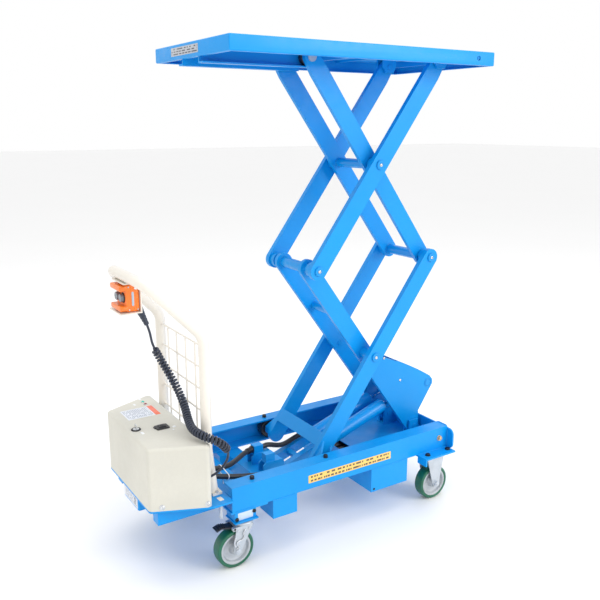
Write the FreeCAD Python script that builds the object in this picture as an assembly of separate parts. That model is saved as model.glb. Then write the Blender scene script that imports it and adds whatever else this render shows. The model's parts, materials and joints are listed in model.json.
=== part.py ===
import FreeCAD, Part
import math
import os

# A battery-powered double-scissor lift table on four casters, shown raised. Lengths are in mm.
# X runs along the platform to the fixed-pivot end, -Y is the near side and Z is up from the floor.
# Each far (+Y) piece is drawn once, and its near twin is its mirror image in the plane Y = 0.

V = FreeCAD.Vector
os.makedirs("parts", exist_ok=True)

# Scissor
PIVOT_X = 488.0
PIVOT_Z = 237.0
REACH = 492.0
RISE = 675.5
ARM_HALF = 31.0
TOP_END = 26.0
LOWER_INNER_Y = (69.0, 84.0)
UPPER_INNER_Y = (86.0, 101.0)
OUTER_Y = (128.0, 147.0)
PIN_R = 10.0
RUNNING = 0.05
GAP = 0.3
TUBE_R = 18.0
COLLAR_FROM = 104.0

# Crank and cylinders
SHAFT = (558.0, 400.0)
SHAFT_R = 14.0
CRANK_CORNER = 24.0
CYLINDER_PIN = (-132.0, 165.0)
CYLINDER_Y = 41.0
BARREL_R = 25.0
BARREL_BORE = 21.0
BARREL_FROM = 257.0
BARREL_TO = 520.0
ROD_R = 10.0
EYE_R = 21.0
ROD_LENGTH = 251.0

# Chassis
RAIL_X = (-386.0, 525.0)
RAIL_Y = (182.0, 236.0)
RAIL_Z = (197.0, 280.0)
SHEET = 3.0
PLATE = 6.0
DECK_X = (-635.0, -457.0, -390.0)
DECK_HALF = (180.0, 256.0)
DECK_Z = 250.0
BEAM_X = (-206.0, -146.0)
BATTERY_X = (166.0, 332.0)
COVER_TOP = 452.0

# Platform
TABLE_X = (-375.0, 635.0)
TABLE_HALF = 260.0
TABLE_Z = (1575.0, 1620.0)
TABLE_SKIN = 5.0

# Casters
WHEEL_R = 65.0
WHEEL_HALF = 20.0
SWIVEL_AT = (-340.0, 214.0)
TRAIL = 34.0
RIGID_AT = (466.0, 220.0)
AXLE_R = 6.0
PEDAL_AT = (SWIVEL_AT[0] - TRAIL - 8, 141.0)

# Handle
UPRIGHT_X = -436.0
UPRIGHT_Y = 170.0
TUBE_HANDLE_R = 17.0
GRIP = (-605.0, 938.0)

LEVELS = [PIVOT_Z, PIVOT_Z + RISE, PIVOT_Z + 2 * RISE]
LEFT_X = PIVOT_X - REACH
MIDDLE_X = PIVOT_X - REACH / 2
ARM_LENGTH = math.hypot(REACH, RISE)


def box(x, y, z):
    return Part.makeBox(x[1] - x[0], y[1] - y[0], z[1] - z[0], V(x[0], y[0], z[0]))


def rod(start, end, radius):
    along = end - start
    return Part.makeCylinder(radius, along.Length, start, along)


def across(at, y, radius):
    """A cylinder along Y, centred on the XZ point at."""
    return Part.makeCylinder(radius, y[1] - y[0], V(at[0], y[0], at[1]), V(0, 1, 0))


def bolt(x, y, z, radius=7.0, height=5.0):
    """An upright cylinder that stands on the height z."""
    return Part.makeCylinder(radius, height, V(x, y, z))


def ring(at, y, outer, inner):
    return across(at, y, outer).cut(across(at, y, inner))


def outline(points, radius, place):
    """A closed wire through 2D points with every corner rounded; place turns a 2D point into 3D."""
    edges = []
    ends = []
    count = len(points)
    for i in range(count):
        corner = V(points[i][0], points[i][1], 0)
        back = V(points[i - 1][0], points[i - 1][1], 0) - corner
        ahead = V(points[(i + 1) % count][0], points[(i + 1) % count][1], 0) - corner
        half = back.getAngle(ahead) / 2
        if radius == 0:
            ends.append((corner, corner, corner))
            continue
        setback = min(radius / math.tan(half), 0.45 * min(back.Length, ahead.Length))
        real = setback * math.tan(half)
        back.normalize()
        ahead.normalize()
        bisector = back + ahead
        bisector.normalize()
        middle = corner + bisector * (real / math.sin(half) - real)
        ends.append((corner + back * setback, middle, corner + ahead * setback))
    for i in range(count):
        first, middle, last = ends[i]
        if radius > 0:
            edges.append(Part.Arc(place(first), place(middle), place(last)).toShape())
        following = ends[(i + 1) % count][0]
        if (following - last).Length > 1e-6:
            edges.append(Part.LineSegment(place(last), place(following)).toShape())
    return Part.Wire(edges)


def upright(points, y, radius=0):
    """An XZ outline as thick as the range y."""
    wire = outline(points, radius, lambda p: V(p.x, y[0], p.y))
    return Part.Face(wire).extrude(V(0, y[1] - y[0], 0))


def plan(points, z, radius=0):
    """An XY outline as thick as the range z."""
    wire = outline(points, radius, lambda p: V(p.x, p.y, z[0]))
    return Part.Face(wire).extrude(V(0, 0, z[1] - z[0]))


def profile(points, x, radius=0):
    """A YZ outline drawn out over the range x."""
    wire = outline(points, radius, lambda p: V(x[0], p.x, p.y))
    return Part.Face(wire).extrude(V(x[1] - x[0], 0, 0))


def sweep(points, tube_radius, bend=None):
    """A round tube along straight runs joined by tangent arcs, as large as the runs allow unless bend is given."""
    edges = []
    last = points[0]
    for i in range(1, len(points) - 1):
        back = points[i - 1] - points[i]
        ahead = points[i + 1] - points[i]
        half_turn = (math.pi - back.getAngle(ahead)) / 2
        setback = 0.45 * min(back.Length, ahead.Length)
        if bend:
            setback = min(setback, bend * math.tan(half_turn))
        radius = setback / math.tan(half_turn)
        back.normalize()
        ahead.normalize()
        bisector = back + ahead
        bisector.normalize()
        first = points[i] + back * setback
        middle = points[i] + bisector * (radius / math.cos(half_turn) - radius)
        third = points[i] + ahead * setback
        edges.append(Part.LineSegment(last, first).toShape())
        edges.append(Part.Arc(first, middle, third).toShape())
        last = third
        print("bend radius %.0f mm, run %.0f mm" % (radius, (points[i + 1] - points[i]).Length))
    edges.append(Part.LineSegment(last, points[-1]).toShape())
    path = Part.Wire(edges)
    section = Part.Wire(Part.makeCircle(tube_radius, points[0], points[1] - points[0]))
    tube = path.makePipeShell([section], True, False)
    print("tube volume over section times length: %.4f" % (tube.Volume / (math.pi * tube_radius**2 * path.Length)))
    return tube


def mirrored(shape):
    return shape.mirror(V(0, 0, 0), V(0, 1, 0))


def joined(*shapes):
    whole = shapes[0]
    for shape in shapes[1:]:
        whole = whole.fuse(shape)
    return whole.removeSplitter()


def save(node, *shapes):
    solids = []
    for shape in shapes:
        solids += shape.Solids
    whole = solids[0] if len(solids) == 1 else Part.makeCompound(solids)
    whole.exportStep("parts/" + node + ".step")


def save_both(node, shape):
    """One node that holds a far piece and its near twin."""
    save(node, shape, mirrored(shape))


def arm_axes(start, end):
    """Unit vectors along an arm and square to it, upwards, in the XZ plane."""
    length = math.hypot(end[0] - start[0], end[1] - start[1])
    along = ((end[0] - start[0]) / length, (end[1] - start[1]) / length)
    side = 1.0 if along[0] > 0 else -1.0
    return along, (-along[1] * side, along[0] * side)


def on_arm(start, end, distance, offset=0.0):
    along, normal = arm_axes(start, end)
    return (
        start[0] + along[0] * distance + normal[0] * offset,
        start[1] + along[1] * distance + normal[1] * offset,
    )


def arm(start, end, y, start_end=ARM_HALF, end_end=ARM_HALF):
    """A flat bar with rounded ends between two pin centres; the ends may be narrower than the bar."""
    taper = 45.0
    stations = [(0, start_end), (taper, ARM_HALF), (ARM_LENGTH - taper, ARM_HALF), (ARM_LENGTH, end_end)]
    upper = [on_arm(start, end, distance, half) for distance, half in stations]
    lower = [on_arm(start, end, distance, -half) for distance, half in reversed(stations)]
    return upright(upper + lower, y).fuse(across(start, y, start_end)).fuse(across(end, y, end_end))


def pivot_axle(at, tube_radius):
    """A cross tube with thick collars beside the outer arms and a headed pin through each of them."""
    outer = OUTER_Y[0] - GAP
    half = joined(
        across(at, (0, outer), tube_radius),
        across(at, (COLLAR_FROM, outer), tube_radius + 7),
        across(at, (outer, OUTER_Y[1] + GAP), PIN_R),
        across(at, (OUTER_Y[1] + GAP, OUTER_Y[1] + 5), 15),
    )
    return joined(half, mirrored(half))


# ---------------------------------------------------------------- scissor arms
base_pivot = (PIVOT_X, LEVELS[0])
base_roller = (LEFT_X, LEVELS[0])
left_mid = (LEFT_X, LEVELS[1])
right_mid = (PIVOT_X, LEVELS[1])
top_roller = (LEFT_X, LEVELS[2])
top_pivot = (PIVOT_X, LEVELS[2])
lower_centre = (MIDDLE_X, (LEVELS[0] + LEVELS[1]) / 2)
upper_centre = (MIDDLE_X, (LEVELS[1] + LEVELS[2]) / 2)


def crank_plate(y):
    """The wide plate that the lower half of an inner arm grows into; the cylinders push its far corner."""
    start = on_arm(base_pivot, left_mid, ARM_LENGTH / 2 - 47, ARM_HALF)
    shaft_top = (SHAFT[0] + CRANK_CORNER * 0.507, SHAFT[1] + CRANK_CORNER * 0.862)
    shaft_side = (SHAFT[0] + CRANK_CORNER * 0.923, SHAFT[1] - CRANK_CORNER * 0.385)
    bulge = ((start[0] + shaft_top[0]) / 2 + 4, (start[1] + shaft_top[1]) / 2 + 8)
    corners = [
        shaft_top,
        shaft_side,
        (PIVOT_X + 25, PIVOT_Z + 55),
        (PIVOT_X + 30, PIVOT_Z + 8),
        base_pivot,
        on_arm(base_pivot, left_mid, ARM_LENGTH / 2 - 47),
        start,
    ]
    places = [V(p[0], y[0], p[1]) for p in corners]
    edges = [Part.LineSegment(a, b).toShape() for a, b in zip(places, places[1:])]
    edges.append(Part.Arc(places[-1], V(bulge[0], y[0], bulge[1]), places[0]).toShape())
    web = Part.Face(Part.Wire(edges)).extrude(V(0, y[1] - y[0], 0))
    cover_y = (-LOWER_INNER_Y[1], LOWER_INNER_Y[1])
    rim = Part.Arc(places[-1], V(bulge[0], y[0], bulge[1]), places[0]).toShape()
    raised = rim.translated(V(1.5, 0, 2.6))
    lid = Part.Face(Part.Wire([
        rim,
        Part.LineSegment(places[0], raised.Vertexes[-1].Point).toShape(),
        raised,
        Part.LineSegment(raised.Vertexes[0].Point, places[-1]).toShape(),
    ])).extrude(V(0, 2 * cover_y[1], 0)).translated(V(0, cover_y[0] - y[0], 0))
    lid = lid.common(box((396, 700), cover_y, (300, 600)))
    return web.fuse(across(SHAFT, y, CRANK_CORNER)), lid


crank, crank_lid = crank_plate(LOWER_INNER_Y)
lower_inner = joined(arm(base_pivot, left_mid, LOWER_INNER_Y), crank)
for place, radius in [
    (base_pivot, PIN_R + RUNNING), (lower_centre, PIN_R), (left_mid, TUBE_R), (SHAFT, SHAFT_R),
]:
    lower_inner = lower_inner.cut(across(place, LOWER_INNER_Y, radius))
save_both("lower_inner_arms", lower_inner)
save("crank_cover", crank_lid)
crank_shaft = across(SHAFT, (-LOWER_INNER_Y[1], LOWER_INNER_Y[1]), SHAFT_R)
brace_at = on_arm(base_pivot, left_mid, 620)
brace = across(brace_at, (-LOWER_INNER_Y[0], LOWER_INNER_Y[0]), 14)
centre_pin = joined(
    across(lower_centre, (LOWER_INNER_Y[0] - 2, OUTER_Y[1] + GAP), PIN_R),
    across(lower_centre, (LOWER_INNER_Y[1], OUTER_Y[0] - GAP), 22),
    across(lower_centre, (OUTER_Y[1] + GAP, OUTER_Y[1] + 5), 15),
)
save("left_mid_tube", pivot_axle(left_mid, TUBE_R))
save("lower_inner_pins", crank_shaft, brace, centre_pin, mirrored(centre_pin))

lower_outer = arm(base_roller, right_mid, OUTER_Y)
for place in [lower_centre, right_mid]:
    lower_outer = lower_outer.cut(across(place, OUTER_Y, PIN_R + RUNNING))
lower_outer = lower_outer.cut(across(base_roller, OUTER_Y, PIN_R))
save_both("lower_outer_arms", lower_outer)
tie_corners = [(45, 24), (95, 24), (95, 31), (45, 31)]
tie = [on_arm(base_roller, right_mid, distance, offset) for distance, offset in tie_corners]
save("lower_outer_tie", upright(tie, (-OUTER_Y[0], OUTER_Y[0])))


def roller_foot():
    """The stub axle that carries a base roller out into its rail, with the boss and gussets that brace it."""
    stub = joined(
        across(base_roller, (OUTER_Y[0], 224 + GAP), PIN_R),
        across(base_roller, (OUTER_Y[1], 188), 19),
        across(base_roller, (224 + GAP, 228), 14),
    )
    along, normal = arm_axes(base_roller, right_mid)
    for offset in (-25, 17):
        corner = on_arm(base_roller, right_mid, 0, offset)
        high = on_arm(base_roller, right_mid, 70, offset)
        wire = Part.makePolygon([
            V(corner[0], OUTER_Y[1], corner[1]),
            V(high[0], OUTER_Y[1], high[1]),
            V(corner[0], 186, corner[1]),
            V(corner[0], OUTER_Y[1], corner[1]),
        ])
        stub = stub.fuse(Part.Face(wire).extrude(V(normal[0] * 8, 0, normal[1] * 8)))
    return stub.removeSplitter()


save_both("roller_feet", roller_foot())
save_both("base_rollers", ring(base_roller, (190, 224), 33.5 - RUNNING, PIN_R + RUNNING))

upper_inner = arm(right_mid, top_roller, UPPER_INNER_Y, ARM_HALF, TOP_END)
for place, radius in [(right_mid, TUBE_R), (upper_centre, TUBE_R - 2), (top_roller, PIN_R)]:
    upper_inner = upper_inner.cut(across(place, UPPER_INNER_Y, radius))
save_both("upper_inner_arms", upper_inner)
save("right_mid_tube", pivot_axle(right_mid, TUBE_R))
save("upper_centre_tube", pivot_axle(upper_centre, TUBE_R - 2))
top_axle = joined(
    across(top_roller, (61, UPPER_INNER_Y[1]), PIN_R),
    across(top_roller, (UPPER_INNER_Y[1], UPPER_INNER_Y[1] + 5), 15),
)
save_both("top_roller_axles", top_axle)
save_both("top_rollers", ring(top_roller, (62, 82), 26.5, PIN_R + RUNNING))

upper_outer = arm(left_mid, top_pivot, OUTER_Y, ARM_HALF, TOP_END)
for place in [left_mid, upper_centre, top_pivot]:
    upper_outer = upper_outer.cut(across(place, OUTER_Y, PIN_R + RUNNING))
save_both("upper_outer_arms", upper_outer)

# ---------------------------------------------------------------- platform
inner_x = (TABLE_X[0] + SHEET, TABLE_X[1] - SHEET)
inner_half = TABLE_HALF - SHEET
pan = box(TABLE_X, (-TABLE_HALF, TABLE_HALF), TABLE_Z)
pan = pan.cut(box(inner_x, (-inner_half, inner_half), (TABLE_Z[0], TABLE_Z[1] - TABLE_SKIN)))
for side in (-1, 1):
    lip_y = sorted((side * inner_half, side * (inner_half - 14)))
    pan = pan.fuse(box(inner_x, lip_y, (TABLE_Z[0], TABLE_Z[0] + SHEET)))
pan = pan.cut(across((561, 1598), (-TABLE_HALF - 1, TABLE_HALF + 1), 8)).removeSplitter()
save("platform_pan", pan)
under_skin = TABLE_Z[1] - TABLE_SKIN
track = profile(
    [(56, 1556), (84, 1556), (84, 1561), (60, 1561), (60, under_skin), (56, under_skin)], (-371, 48)
)
lug = [(458, under_skin), (518, under_skin), (518, 1590), (506, 1568), (470, 1568), (458, 1590)]
top_lugs = joined(
    upright(lug, (117, 125)), upright(lug, (150, 158)),
    across(top_pivot, (115, OUTER_Y[0] - GAP), PIN_R),
    across(top_pivot, (OUTER_Y[0] - GAP, 160), PIN_R),
)
ribs = [
    box((x, x + 5), (-inner_half, inner_half), (low, under_skin)) for x, low in [(150, 1593), (340, 1607), (560, 1593)]
]
save("roller_tracks", track, mirrored(track))
save("platform_underframe", top_lugs, mirrored(top_lugs), *ribs)
save("rating_plate", box((TABLE_X[0] - 0.6, TABLE_X[0]), (-65, 130), (1586, 1611)))

# ---------------------------------------------------------------- chassis
y0, y1 = RAIL_Y
z0, z1 = RAIL_Z
rail = profile(
    [(y0, z0), (y1, z0), (y1, z1), (y0, z1), (y0, z1 - 6), (y1 - 6, z1 - 6), (y1 - 6, z0 + 6), (y0, z0 + 6)],
    RAIL_X,
)
save_both("side_rails", rail)
floor_plate = joined(
    box((DECK_X[2], -258), (-y1, y1), (191, z0)),
    box((DECK_X[2], DECK_X[2] + PLATE), (-y0, y0), (z0, DECK_Z - PLATE)),
)
rear_floor = box((BATTERY_X[1], RAIL_X[1]), (-159, 159), (189, z0))
save("floor_plates", floor_plate, rear_floor)
deck_outline = [
    (DECK_X[0], -DECK_HALF[0]), (DECK_X[1], -DECK_HALF[1]), (DECK_X[2], -DECK_HALF[1]),
    (DECK_X[2], DECK_HALF[1]), (DECK_X[1], DECK_HALF[1]), (DECK_X[0], DECK_HALF[0]),
]
deck = plan(deck_outline, (DECK_Z - PLATE, DECK_Z), 10)
deck_beam = box((-610, DECK_X[2]), (140, 180), (196, DECK_Z - PLATE))
save("deck", joined(deck, deck_beam, mirrored(deck_beam)))
beam = box(BEAM_X, (-y1, y1), (135, z0))
for side in (-1, 1):
    end_y = sorted((side * 150, side * y1))
    beam = beam.fuse(box((-238, BEAM_X[1]), end_y, (130, z0)))
for side in (-1, 1):
    eye_y = sorted((side * (CYLINDER_Y - 14), side * (CYLINDER_Y + 14)))
    beam = beam.cut(across(CYLINDER_PIN, eye_y, EYE_R + 2))
save("cylinder_beam", beam.removeSplitter())


UNION_X = (-160, -124)
UNION_Z = 249.0
HOSE_R = 9.0


def clevis():
    """The lugs, roofed over, that hold one cylinder's lower pin, with a hose union block on the roof."""
    lug = [
        (BEAM_X[1], 140), (-112, 140), (-88, 170), (-88, 226), (-98, 236), (-160, 236),
        (-172, 226), (-172, RAIL_Z[0]), (BEAM_X[1], RAIL_Z[0]),
    ]
    low, high = CYLINDER_Y - 19, CYLINDER_Y + 19
    union = box(UNION_X, (CYLINDER_Y - 14, CYLINDER_Y + 14), (236, UNION_Z + 14))
    socket_from = V(UNION_X[1] - 16, CYLINDER_Y, UNION_Z)
    union = union.cut(rod(socket_from, V(UNION_X[1] + 1, CYLINDER_Y, UNION_Z), HOSE_R + 3))
    return joined(
        upright(lug, (low, low + 6)), upright(lug, (high - 6, high)),
        box((-162, -96), (low, high), (230, 236)), union,
        across(CYLINDER_PIN, (low - 3, high + 3), 9),
    )


far_clevis = clevis()
save_both("cylinder_clevises", far_clevis)
tray = box(BATTERY_X, (-y1, y1), (108, z0))
tray = tray.cut(box((BATTERY_X[0] + SHEET, BATTERY_X[1] - SHEET), (-y1 + SHEET, y1 - SHEET), (108 + SHEET, z0)))
save("battery_tray", tray)
save_both("batteries", box((176, 322), (8, 200), (111, 188)))
cover_outline = [(212, -y0 + 2), (452, -y0 + 2), (452, y0 - 2), (212, y0 - 2)]
cable_block = box((212, 238), (-119, -91), (z0 + SHEET, 222))
save("battery_cover", joined(plan(cover_outline, (z0, z0 + SHEET), 16), cable_block))
end_plate = profile([(-266, 193), (266, 193), (266, 272), (-266, 272)], (RAIL_X[1], RAIL_X[1] + PLATE), 22)
save("end_plate", end_plate)
bracket = [(462, z0 + SHEET), (525, z0 + SHEET), (525, 226), (504, 242), (504, 264), (462, 264)]
foot_low, foot_high = LOWER_INNER_Y[0] - 3, LOWER_INNER_Y[1] + 3
pivot_mount = joined(
    upright(bracket, (foot_low - 8, foot_low)), upright(bracket, (foot_high, foot_high + 8)),
    box((521, 525), (foot_low - 8, foot_high + 8), (z0 + SHEET, 226)),
    across(base_pivot, (foot_low - 10, foot_high + 10), PIN_R),
)
mount_foot = box((455, 525), (foot_low - 12, foot_high + 12), (z0, z0 + SHEET))
save_both("pivot_brackets", joined(pivot_mount, mount_foot))
pad = joined(
    box((380, RAIL_X[1]), (159, 284), (191, z0)),
    box((380, 386), (238, 284), (168, 191)),
)
housing = box((-378, -302), (180, y1), (162, 191))
swivel_plate = joined(
    box((SWIVEL_AT[0] - 42, SWIVEL_AT[0] + 42), (178, 246), (158, 162)),
    bolt(*SWIVEL_AT, 156 + GAP, 20, 2 - GAP),
)
save_both("caster_mounts", Part.makeCompound([pad, joined(housing, swivel_plate)]))


fasteners = []
for x in (RIGID_AT[0] - 55, RIGID_AT[0] + 43):
    fasteners.append(bolt(x, 258, z0))
fasteners.append(across((485, 240), (y1, y1 + 6), 9))
fasteners.append(bolt(LEFT_X - 10, 209, z1, 8, 10))
fasteners.append(bolt(-300, 209, z1, 8, 10))
fasteners.append(rod(V(-415, 215, 180), V(-415, 215, DECK_Z - PLATE), 6))
save_both("chassis_bolts", Part.makeCompound(fasteners))
warning_label = box((-101, 251), (y1, y1 + 0.6), (218, 246))

# ---------------------------------------------------------------- power unit
cover_outline = [
    (DECK_X[0], -DECK_HALF[0]), (DECK_X[1], -DECK_HALF[1]), (DECK_X[1], DECK_HALF[1]), (DECK_X[0], DECK_HALF[0]),
]
hollow_outline = [
    (DECK_X[0] + SHEET, -DECK_HALF[0] + SHEET), (DECK_X[1] - SHEET, -DECK_HALF[1] + SHEET * 1.8),
    (DECK_X[1] - SHEET, DECK_HALF[1] - SHEET * 1.8), (DECK_X[0] + SHEET, DECK_HALF[0] - SHEET),
]
cover = plan(cover_outline, (DECK_Z, COVER_TOP), 14)
rim = [edge for edge in cover.Edges if min(v.Point.z for v in edge.Vertexes) > COVER_TOP - 0.1]
cover = cover.makeFillet(9, rim)
cover = cover.cut(plan(hollow_outline, (DECK_Z, COVER_TOP - SHEET), 12))
KEY_AT = (-608, -22)
SOCKET_AT = (-533, -49)
CORD_EXIT = V(DECK_X[1], -196, 318)
for at, radius in [(KEY_AT, 7 + RUNNING), (SOCKET_AT, 13)]:
    cover = cover.cut(bolt(at[0], at[1], COVER_TOP - 10, radius, 20))
cover = cover.cut(rod(CORD_EXIT - V(10, 0, 0), CORD_EXIT + V(10, 0, 0), 9))
screws = []
for x, y in [(-600, -195), (-474, -248.8)]:
    screws.append(rod(V(x, y + 4, 262), V(x, y - 3, 262), 5))
screws += [mirrored(screw) for screw in screws]
for screw in screws:
    cover = cover.cut(screw)
save("power_cover", cover)
motor = rod(V(-530, -70, 312), V(-530, 110, 312), 46)
pump = box((-575, -485), (110, 150), (DECK_Z, 356))
fluid_tank = box((-600, -480), (-168, -76), (DECK_Z, 400))
controller = box((-622, -590), (20, 150), (DECK_Z, 380))
save("power_pack", joined(motor, pump, fluid_tank), controller)
save("charger", box((-628, -560), (-62, 70), (194, DECK_Z - PLATE)))
save("key_switch", joined(
    bolt(*KEY_AT, COVER_TOP - 12, 7, 15), bolt(*KEY_AT, COVER_TOP + GAP, 10, 3),
    box((KEY_AT[0] - 1.2, KEY_AT[0] + 1.2), (KEY_AT[1] - 9, KEY_AT[1] + 9), (COVER_TOP + 3, COVER_TOP + 17)),
))
socket = joined(bolt(*SOCKET_AT, COVER_TOP - 18, 13, 18), bolt(*SOCKET_AT, COVER_TOP, 18, 5))
lamps = [bolt(-505, y, COVER_TOP, 5, 5) for y in (165, 190)]
gland = rod(CORD_EXIT - V(8, 0, 0), CORD_EXIT + V(4, 0, 0), 9)
cover_label = box((-582, -524), (14, 132), (COVER_TOP, COVER_TOP + 0.6))
save("chassis_labels", warning_label, mirrored(warning_label), cover_label)
save("cover_fittings", socket, gland, *lamps, *screws)

# ---------------------------------------------------------------- handle, guard and pendant
side_path = [
    V(UPRIGHT_X + 16, UPRIGHT_Y, DECK_Z), V(UPRIGHT_X, UPRIGHT_Y, 400), V(UPRIGHT_X, UPRIGHT_Y, 765),
    V(GRIP[0], UPRIGHT_Y, GRIP[1]),
]
other_side = [V(p.x, -p.y, p.z) for p in reversed(side_path)]
handle = sweep(side_path + other_side, TUBE_HANDLE_R, 75)
foot = box((-432, -400), (UPRIGHT_Y - 26, UPRIGHT_Y + 26), (DECK_Z, DECK_Z + 8))
save("handle_tube", joined(handle, foot, mirrored(foot)).cut(deck))
WIRE_R = 3.0
guard_half = UPRIGHT_Y - TUBE_HANDLE_R + 1
wires = [rod(V(UPRIGHT_X, -guard_half, z), V(UPRIGHT_X, guard_half, z), WIRE_R) for z in range(447, 740, 71)]
wires += [rod(V(UPRIGHT_X, y, 376), V(UPRIGHT_X, y, 734), WIRE_R) for y in (-105, -35, 35, 105)]
save("wire_guard", joined(*wires).cut(handle))

PENDANT_Y = (-12, 76)
holder = joined(
    box((-622, -566), (PENDANT_Y[0] - 8, PENDANT_Y[1] + 8), (917, 920.5)),
    box((-569.5, -566), (PENDANT_Y[0] - 8, PENDANT_Y[1] + 8), (824, 920.5)),
    box((-634, -566), (PENDANT_Y[0] - 8, PENDANT_Y[1] + 8), (824, 827.5)),
)
save("pendant_holder", holder)
case = upright([(-612, 828), (-570, 828), (-570, 915), (-612, 915)], PENDANT_Y, 6)
for low in (832, 894):
    guard = upright([(-634, low), (-606, low), (-606, low + 16), (-626, low + 16)], PENDANT_Y, 4)
    case = case.fuse(guard)
BUTTONS = {"raise_button": 50, "lower_button": 14}
for y in BUTTONS.values():
    case = case.cut(rod(V(-613, y, 871), V(-598, y, 871), 13 + RUNNING))
save("pendant_case", case.removeSplitter())
for node, y in BUTTONS.items():
    save(node, rod(V(-624, y, 871), V(-603, y, 871), 13))

# ---------------------------------------------------------------- cords and hoses
CORD_R = 4.0
COIL_R = 14.0
boot_top = V(-566, 30, 842)
boot_end = V(-536, 30, 772)
save("pendant_cord_top", sweep([boot_end, V(-526, 30, 742), V(-523, 31, 712), V(-514, 34, 690)], CORD_R))
cord_top_end = V(-514, 34, 690)
boot = Part.makeCone(15, 8, (boot_end - boot_top).Length, boot_top, boot_end - boot_top)
save("cord_boot", boot.cut(box((-640, boot_top.x), (-100, 100), (800, 930))))
coil_route = [
    cord_top_end, V(-498, 36, 655), V(-478, 10, 606), V(-462, -24, 556), V(-461, -70, 514),
    V(-474, -122, 487), V(-484, -178, 477), V(-470, -232, 474), V(-430, -258, 455), V(-396, -240, 412),
]
coil = sweep(coil_route, COIL_R)
save("pendant_coil", coil)
tail = [coil_route[-1], V(-392, -226, 380), V(-404, -210, 345), V(-428, -198, 322), CORD_EXIT + V(4, 0, 0)]
save("pendant_cord_tail", sweep(tail, CORD_R).cut(coil).cut(gland))

AXIS = math.atan2(SHAFT[1] - CYLINDER_PIN[1], SHAFT[0] - CYLINDER_PIN[0])


def along_cylinder(distance, y, lift=0.0):
    """A point at a distance up a cylinder's axis from its lower pin, lifted square to the axis."""
    return V(
        CYLINDER_PIN[0] + distance * math.cos(AXIS) - lift * math.sin(AXIS), y,
        CYLINDER_PIN[1] + distance * math.sin(AXIS) + lift * math.cos(AXIS),
    )


def cylinder_piece(distance, y, height, width):
    """A square bar along the cylinder's axis over a range of distance."""
    length = distance[1] - distance[0]
    bar = Part.makeBox(length, width, height, V(distance[0], y - width / 2, -height / 2))
    bar.rotate(V(0, 0, 0), V(0, 1, 0), -math.degrees(AXIS))
    return bar.translated(V(CYLINDER_PIN[0], 0, CYLINDER_PIN[1]))


def barrel():
    shape = joined(
        across(CYLINDER_PIN, (CYLINDER_Y - 12, CYLINDER_Y + 12), EYE_R),
        cylinder_piece((10, BARREL_FROM), CYLINDER_Y, 36, 24),
        rod(along_cylinder(BARREL_FROM, CYLINDER_Y), along_cylinder(BARREL_TO, CYLINDER_Y), BARREL_R),
    )
    bore = rod(along_cylinder(BARREL_FROM + 12, CYLINDER_Y), along_cylinder(BARREL_TO + 5, CYLINDER_Y), BARREL_BORE)
    pin = across(CYLINDER_PIN, (CYLINDER_Y - 12, CYLINDER_Y + 12), 9 + RUNNING)
    return shape.cut(bore).cut(pin)


PORT_AT = BARREL_FROM - 24
PORT_LIFT = 32.0
save_both("cylinder_barrels", barrel())
tie_bar = cylinder_piece((118, 136), 0, 20, 2 * (CYLINDER_Y - 12))
port = rod(along_cylinder(PORT_AT, CYLINDER_Y, 18), along_cylinder(PORT_AT, CYLINDER_Y, PORT_LIFT + 12), 12)
crossover = rod(along_cylinder(PORT_AT, -CYLINDER_Y, PORT_LIFT), along_cylinder(PORT_AT, CYLINDER_Y, PORT_LIFT), 6)
line_route = [
    V(UNION_X[1] - 8, CYLINDER_Y, UNION_Z), V(UNION_X[1] + 30, CYLINDER_Y, UNION_Z),
    along_cylinder(PORT_AT - 60, CYLINDER_Y, PORT_LIFT), along_cylinder(PORT_AT, CYLINDER_Y, PORT_LIFT),
]
supply_line = sweep(line_route, HOSE_R)
save("cylinder_fittings", tie_bar, joined(port, mirrored(port), crossover, supply_line))
ROD_START = math.hypot(SHAFT[0] - CYLINDER_PIN[0], SHAFT[1] - CYLINDER_PIN[1]) - ROD_LENGTH
rod_shape = joined(
    rod(along_cylinder(ROD_START, CYLINDER_Y), along_cylinder(ROD_START + ROD_LENGTH - 15, CYLINDER_Y), ROD_R),
    across(SHAFT, (CYLINDER_Y - 11, CYLINDER_Y + 11), 19),
).cut(across(SHAFT, (CYLINDER_Y - 11, CYLINDER_Y + 11), SHAFT_R + RUNNING))
save_both("cylinder_rods", rod_shape)


# ---------------------------------------------------------------- casters
def wheel(node, x, y):
    hub = (x, WHEEL_R)
    rim_r = WHEEL_R - 12
    tread = ring(hub, (y - WHEEL_HALF, y + WHEEL_HALF), WHEEL_R, rim_r)
    tread = tread.makeFillet(5, [e for e in tread.Edges if hasattr(e.Curve, "Radius") and e.Curve.Radius > rim_r + 5])
    body = joined(
        ring(hub, (y - 18, y + 18), rim_r, rim_r - 8),
        across(hub, (y - 6, y + 6), rim_r - 4),
        across(hub, (y - 24, y + 24), 17),
    ).cut(across(hub, (y - 30, y + 30), AXLE_R + RUNNING))
    save(node, tread, body)


def fork(x, y, top, head_x, head_half):
    """Two legs and a crown over one wheel, with the axle bolt through them."""
    legs = []
    for side in (-1, 1):
        leg_y = sorted((y + side * 26, y + side * 29.5))
        outline_points = [
            (head_x - head_half, top), (head_x + head_half, top), (x + 15, WHEEL_R - 2), (x + 7, WHEEL_R - 17),
            (x - 7, WHEEL_R - 17), (x - 15, WHEEL_R - 2),
        ]
        leg = upright(outline_points, leg_y, 5)
        nut_y = sorted((y + side * 29.5, y + side * 36))
        legs += [leg, across((x, WHEEL_R), nut_y, 9)]
    crown = box((head_x - head_half, head_x + head_half), (y - 29.5, y + 29.5), (top - 5, top))
    return joined(crown, *legs, across((x, WHEEL_R), (y - 36, y + 36), AXLE_R))


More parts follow.
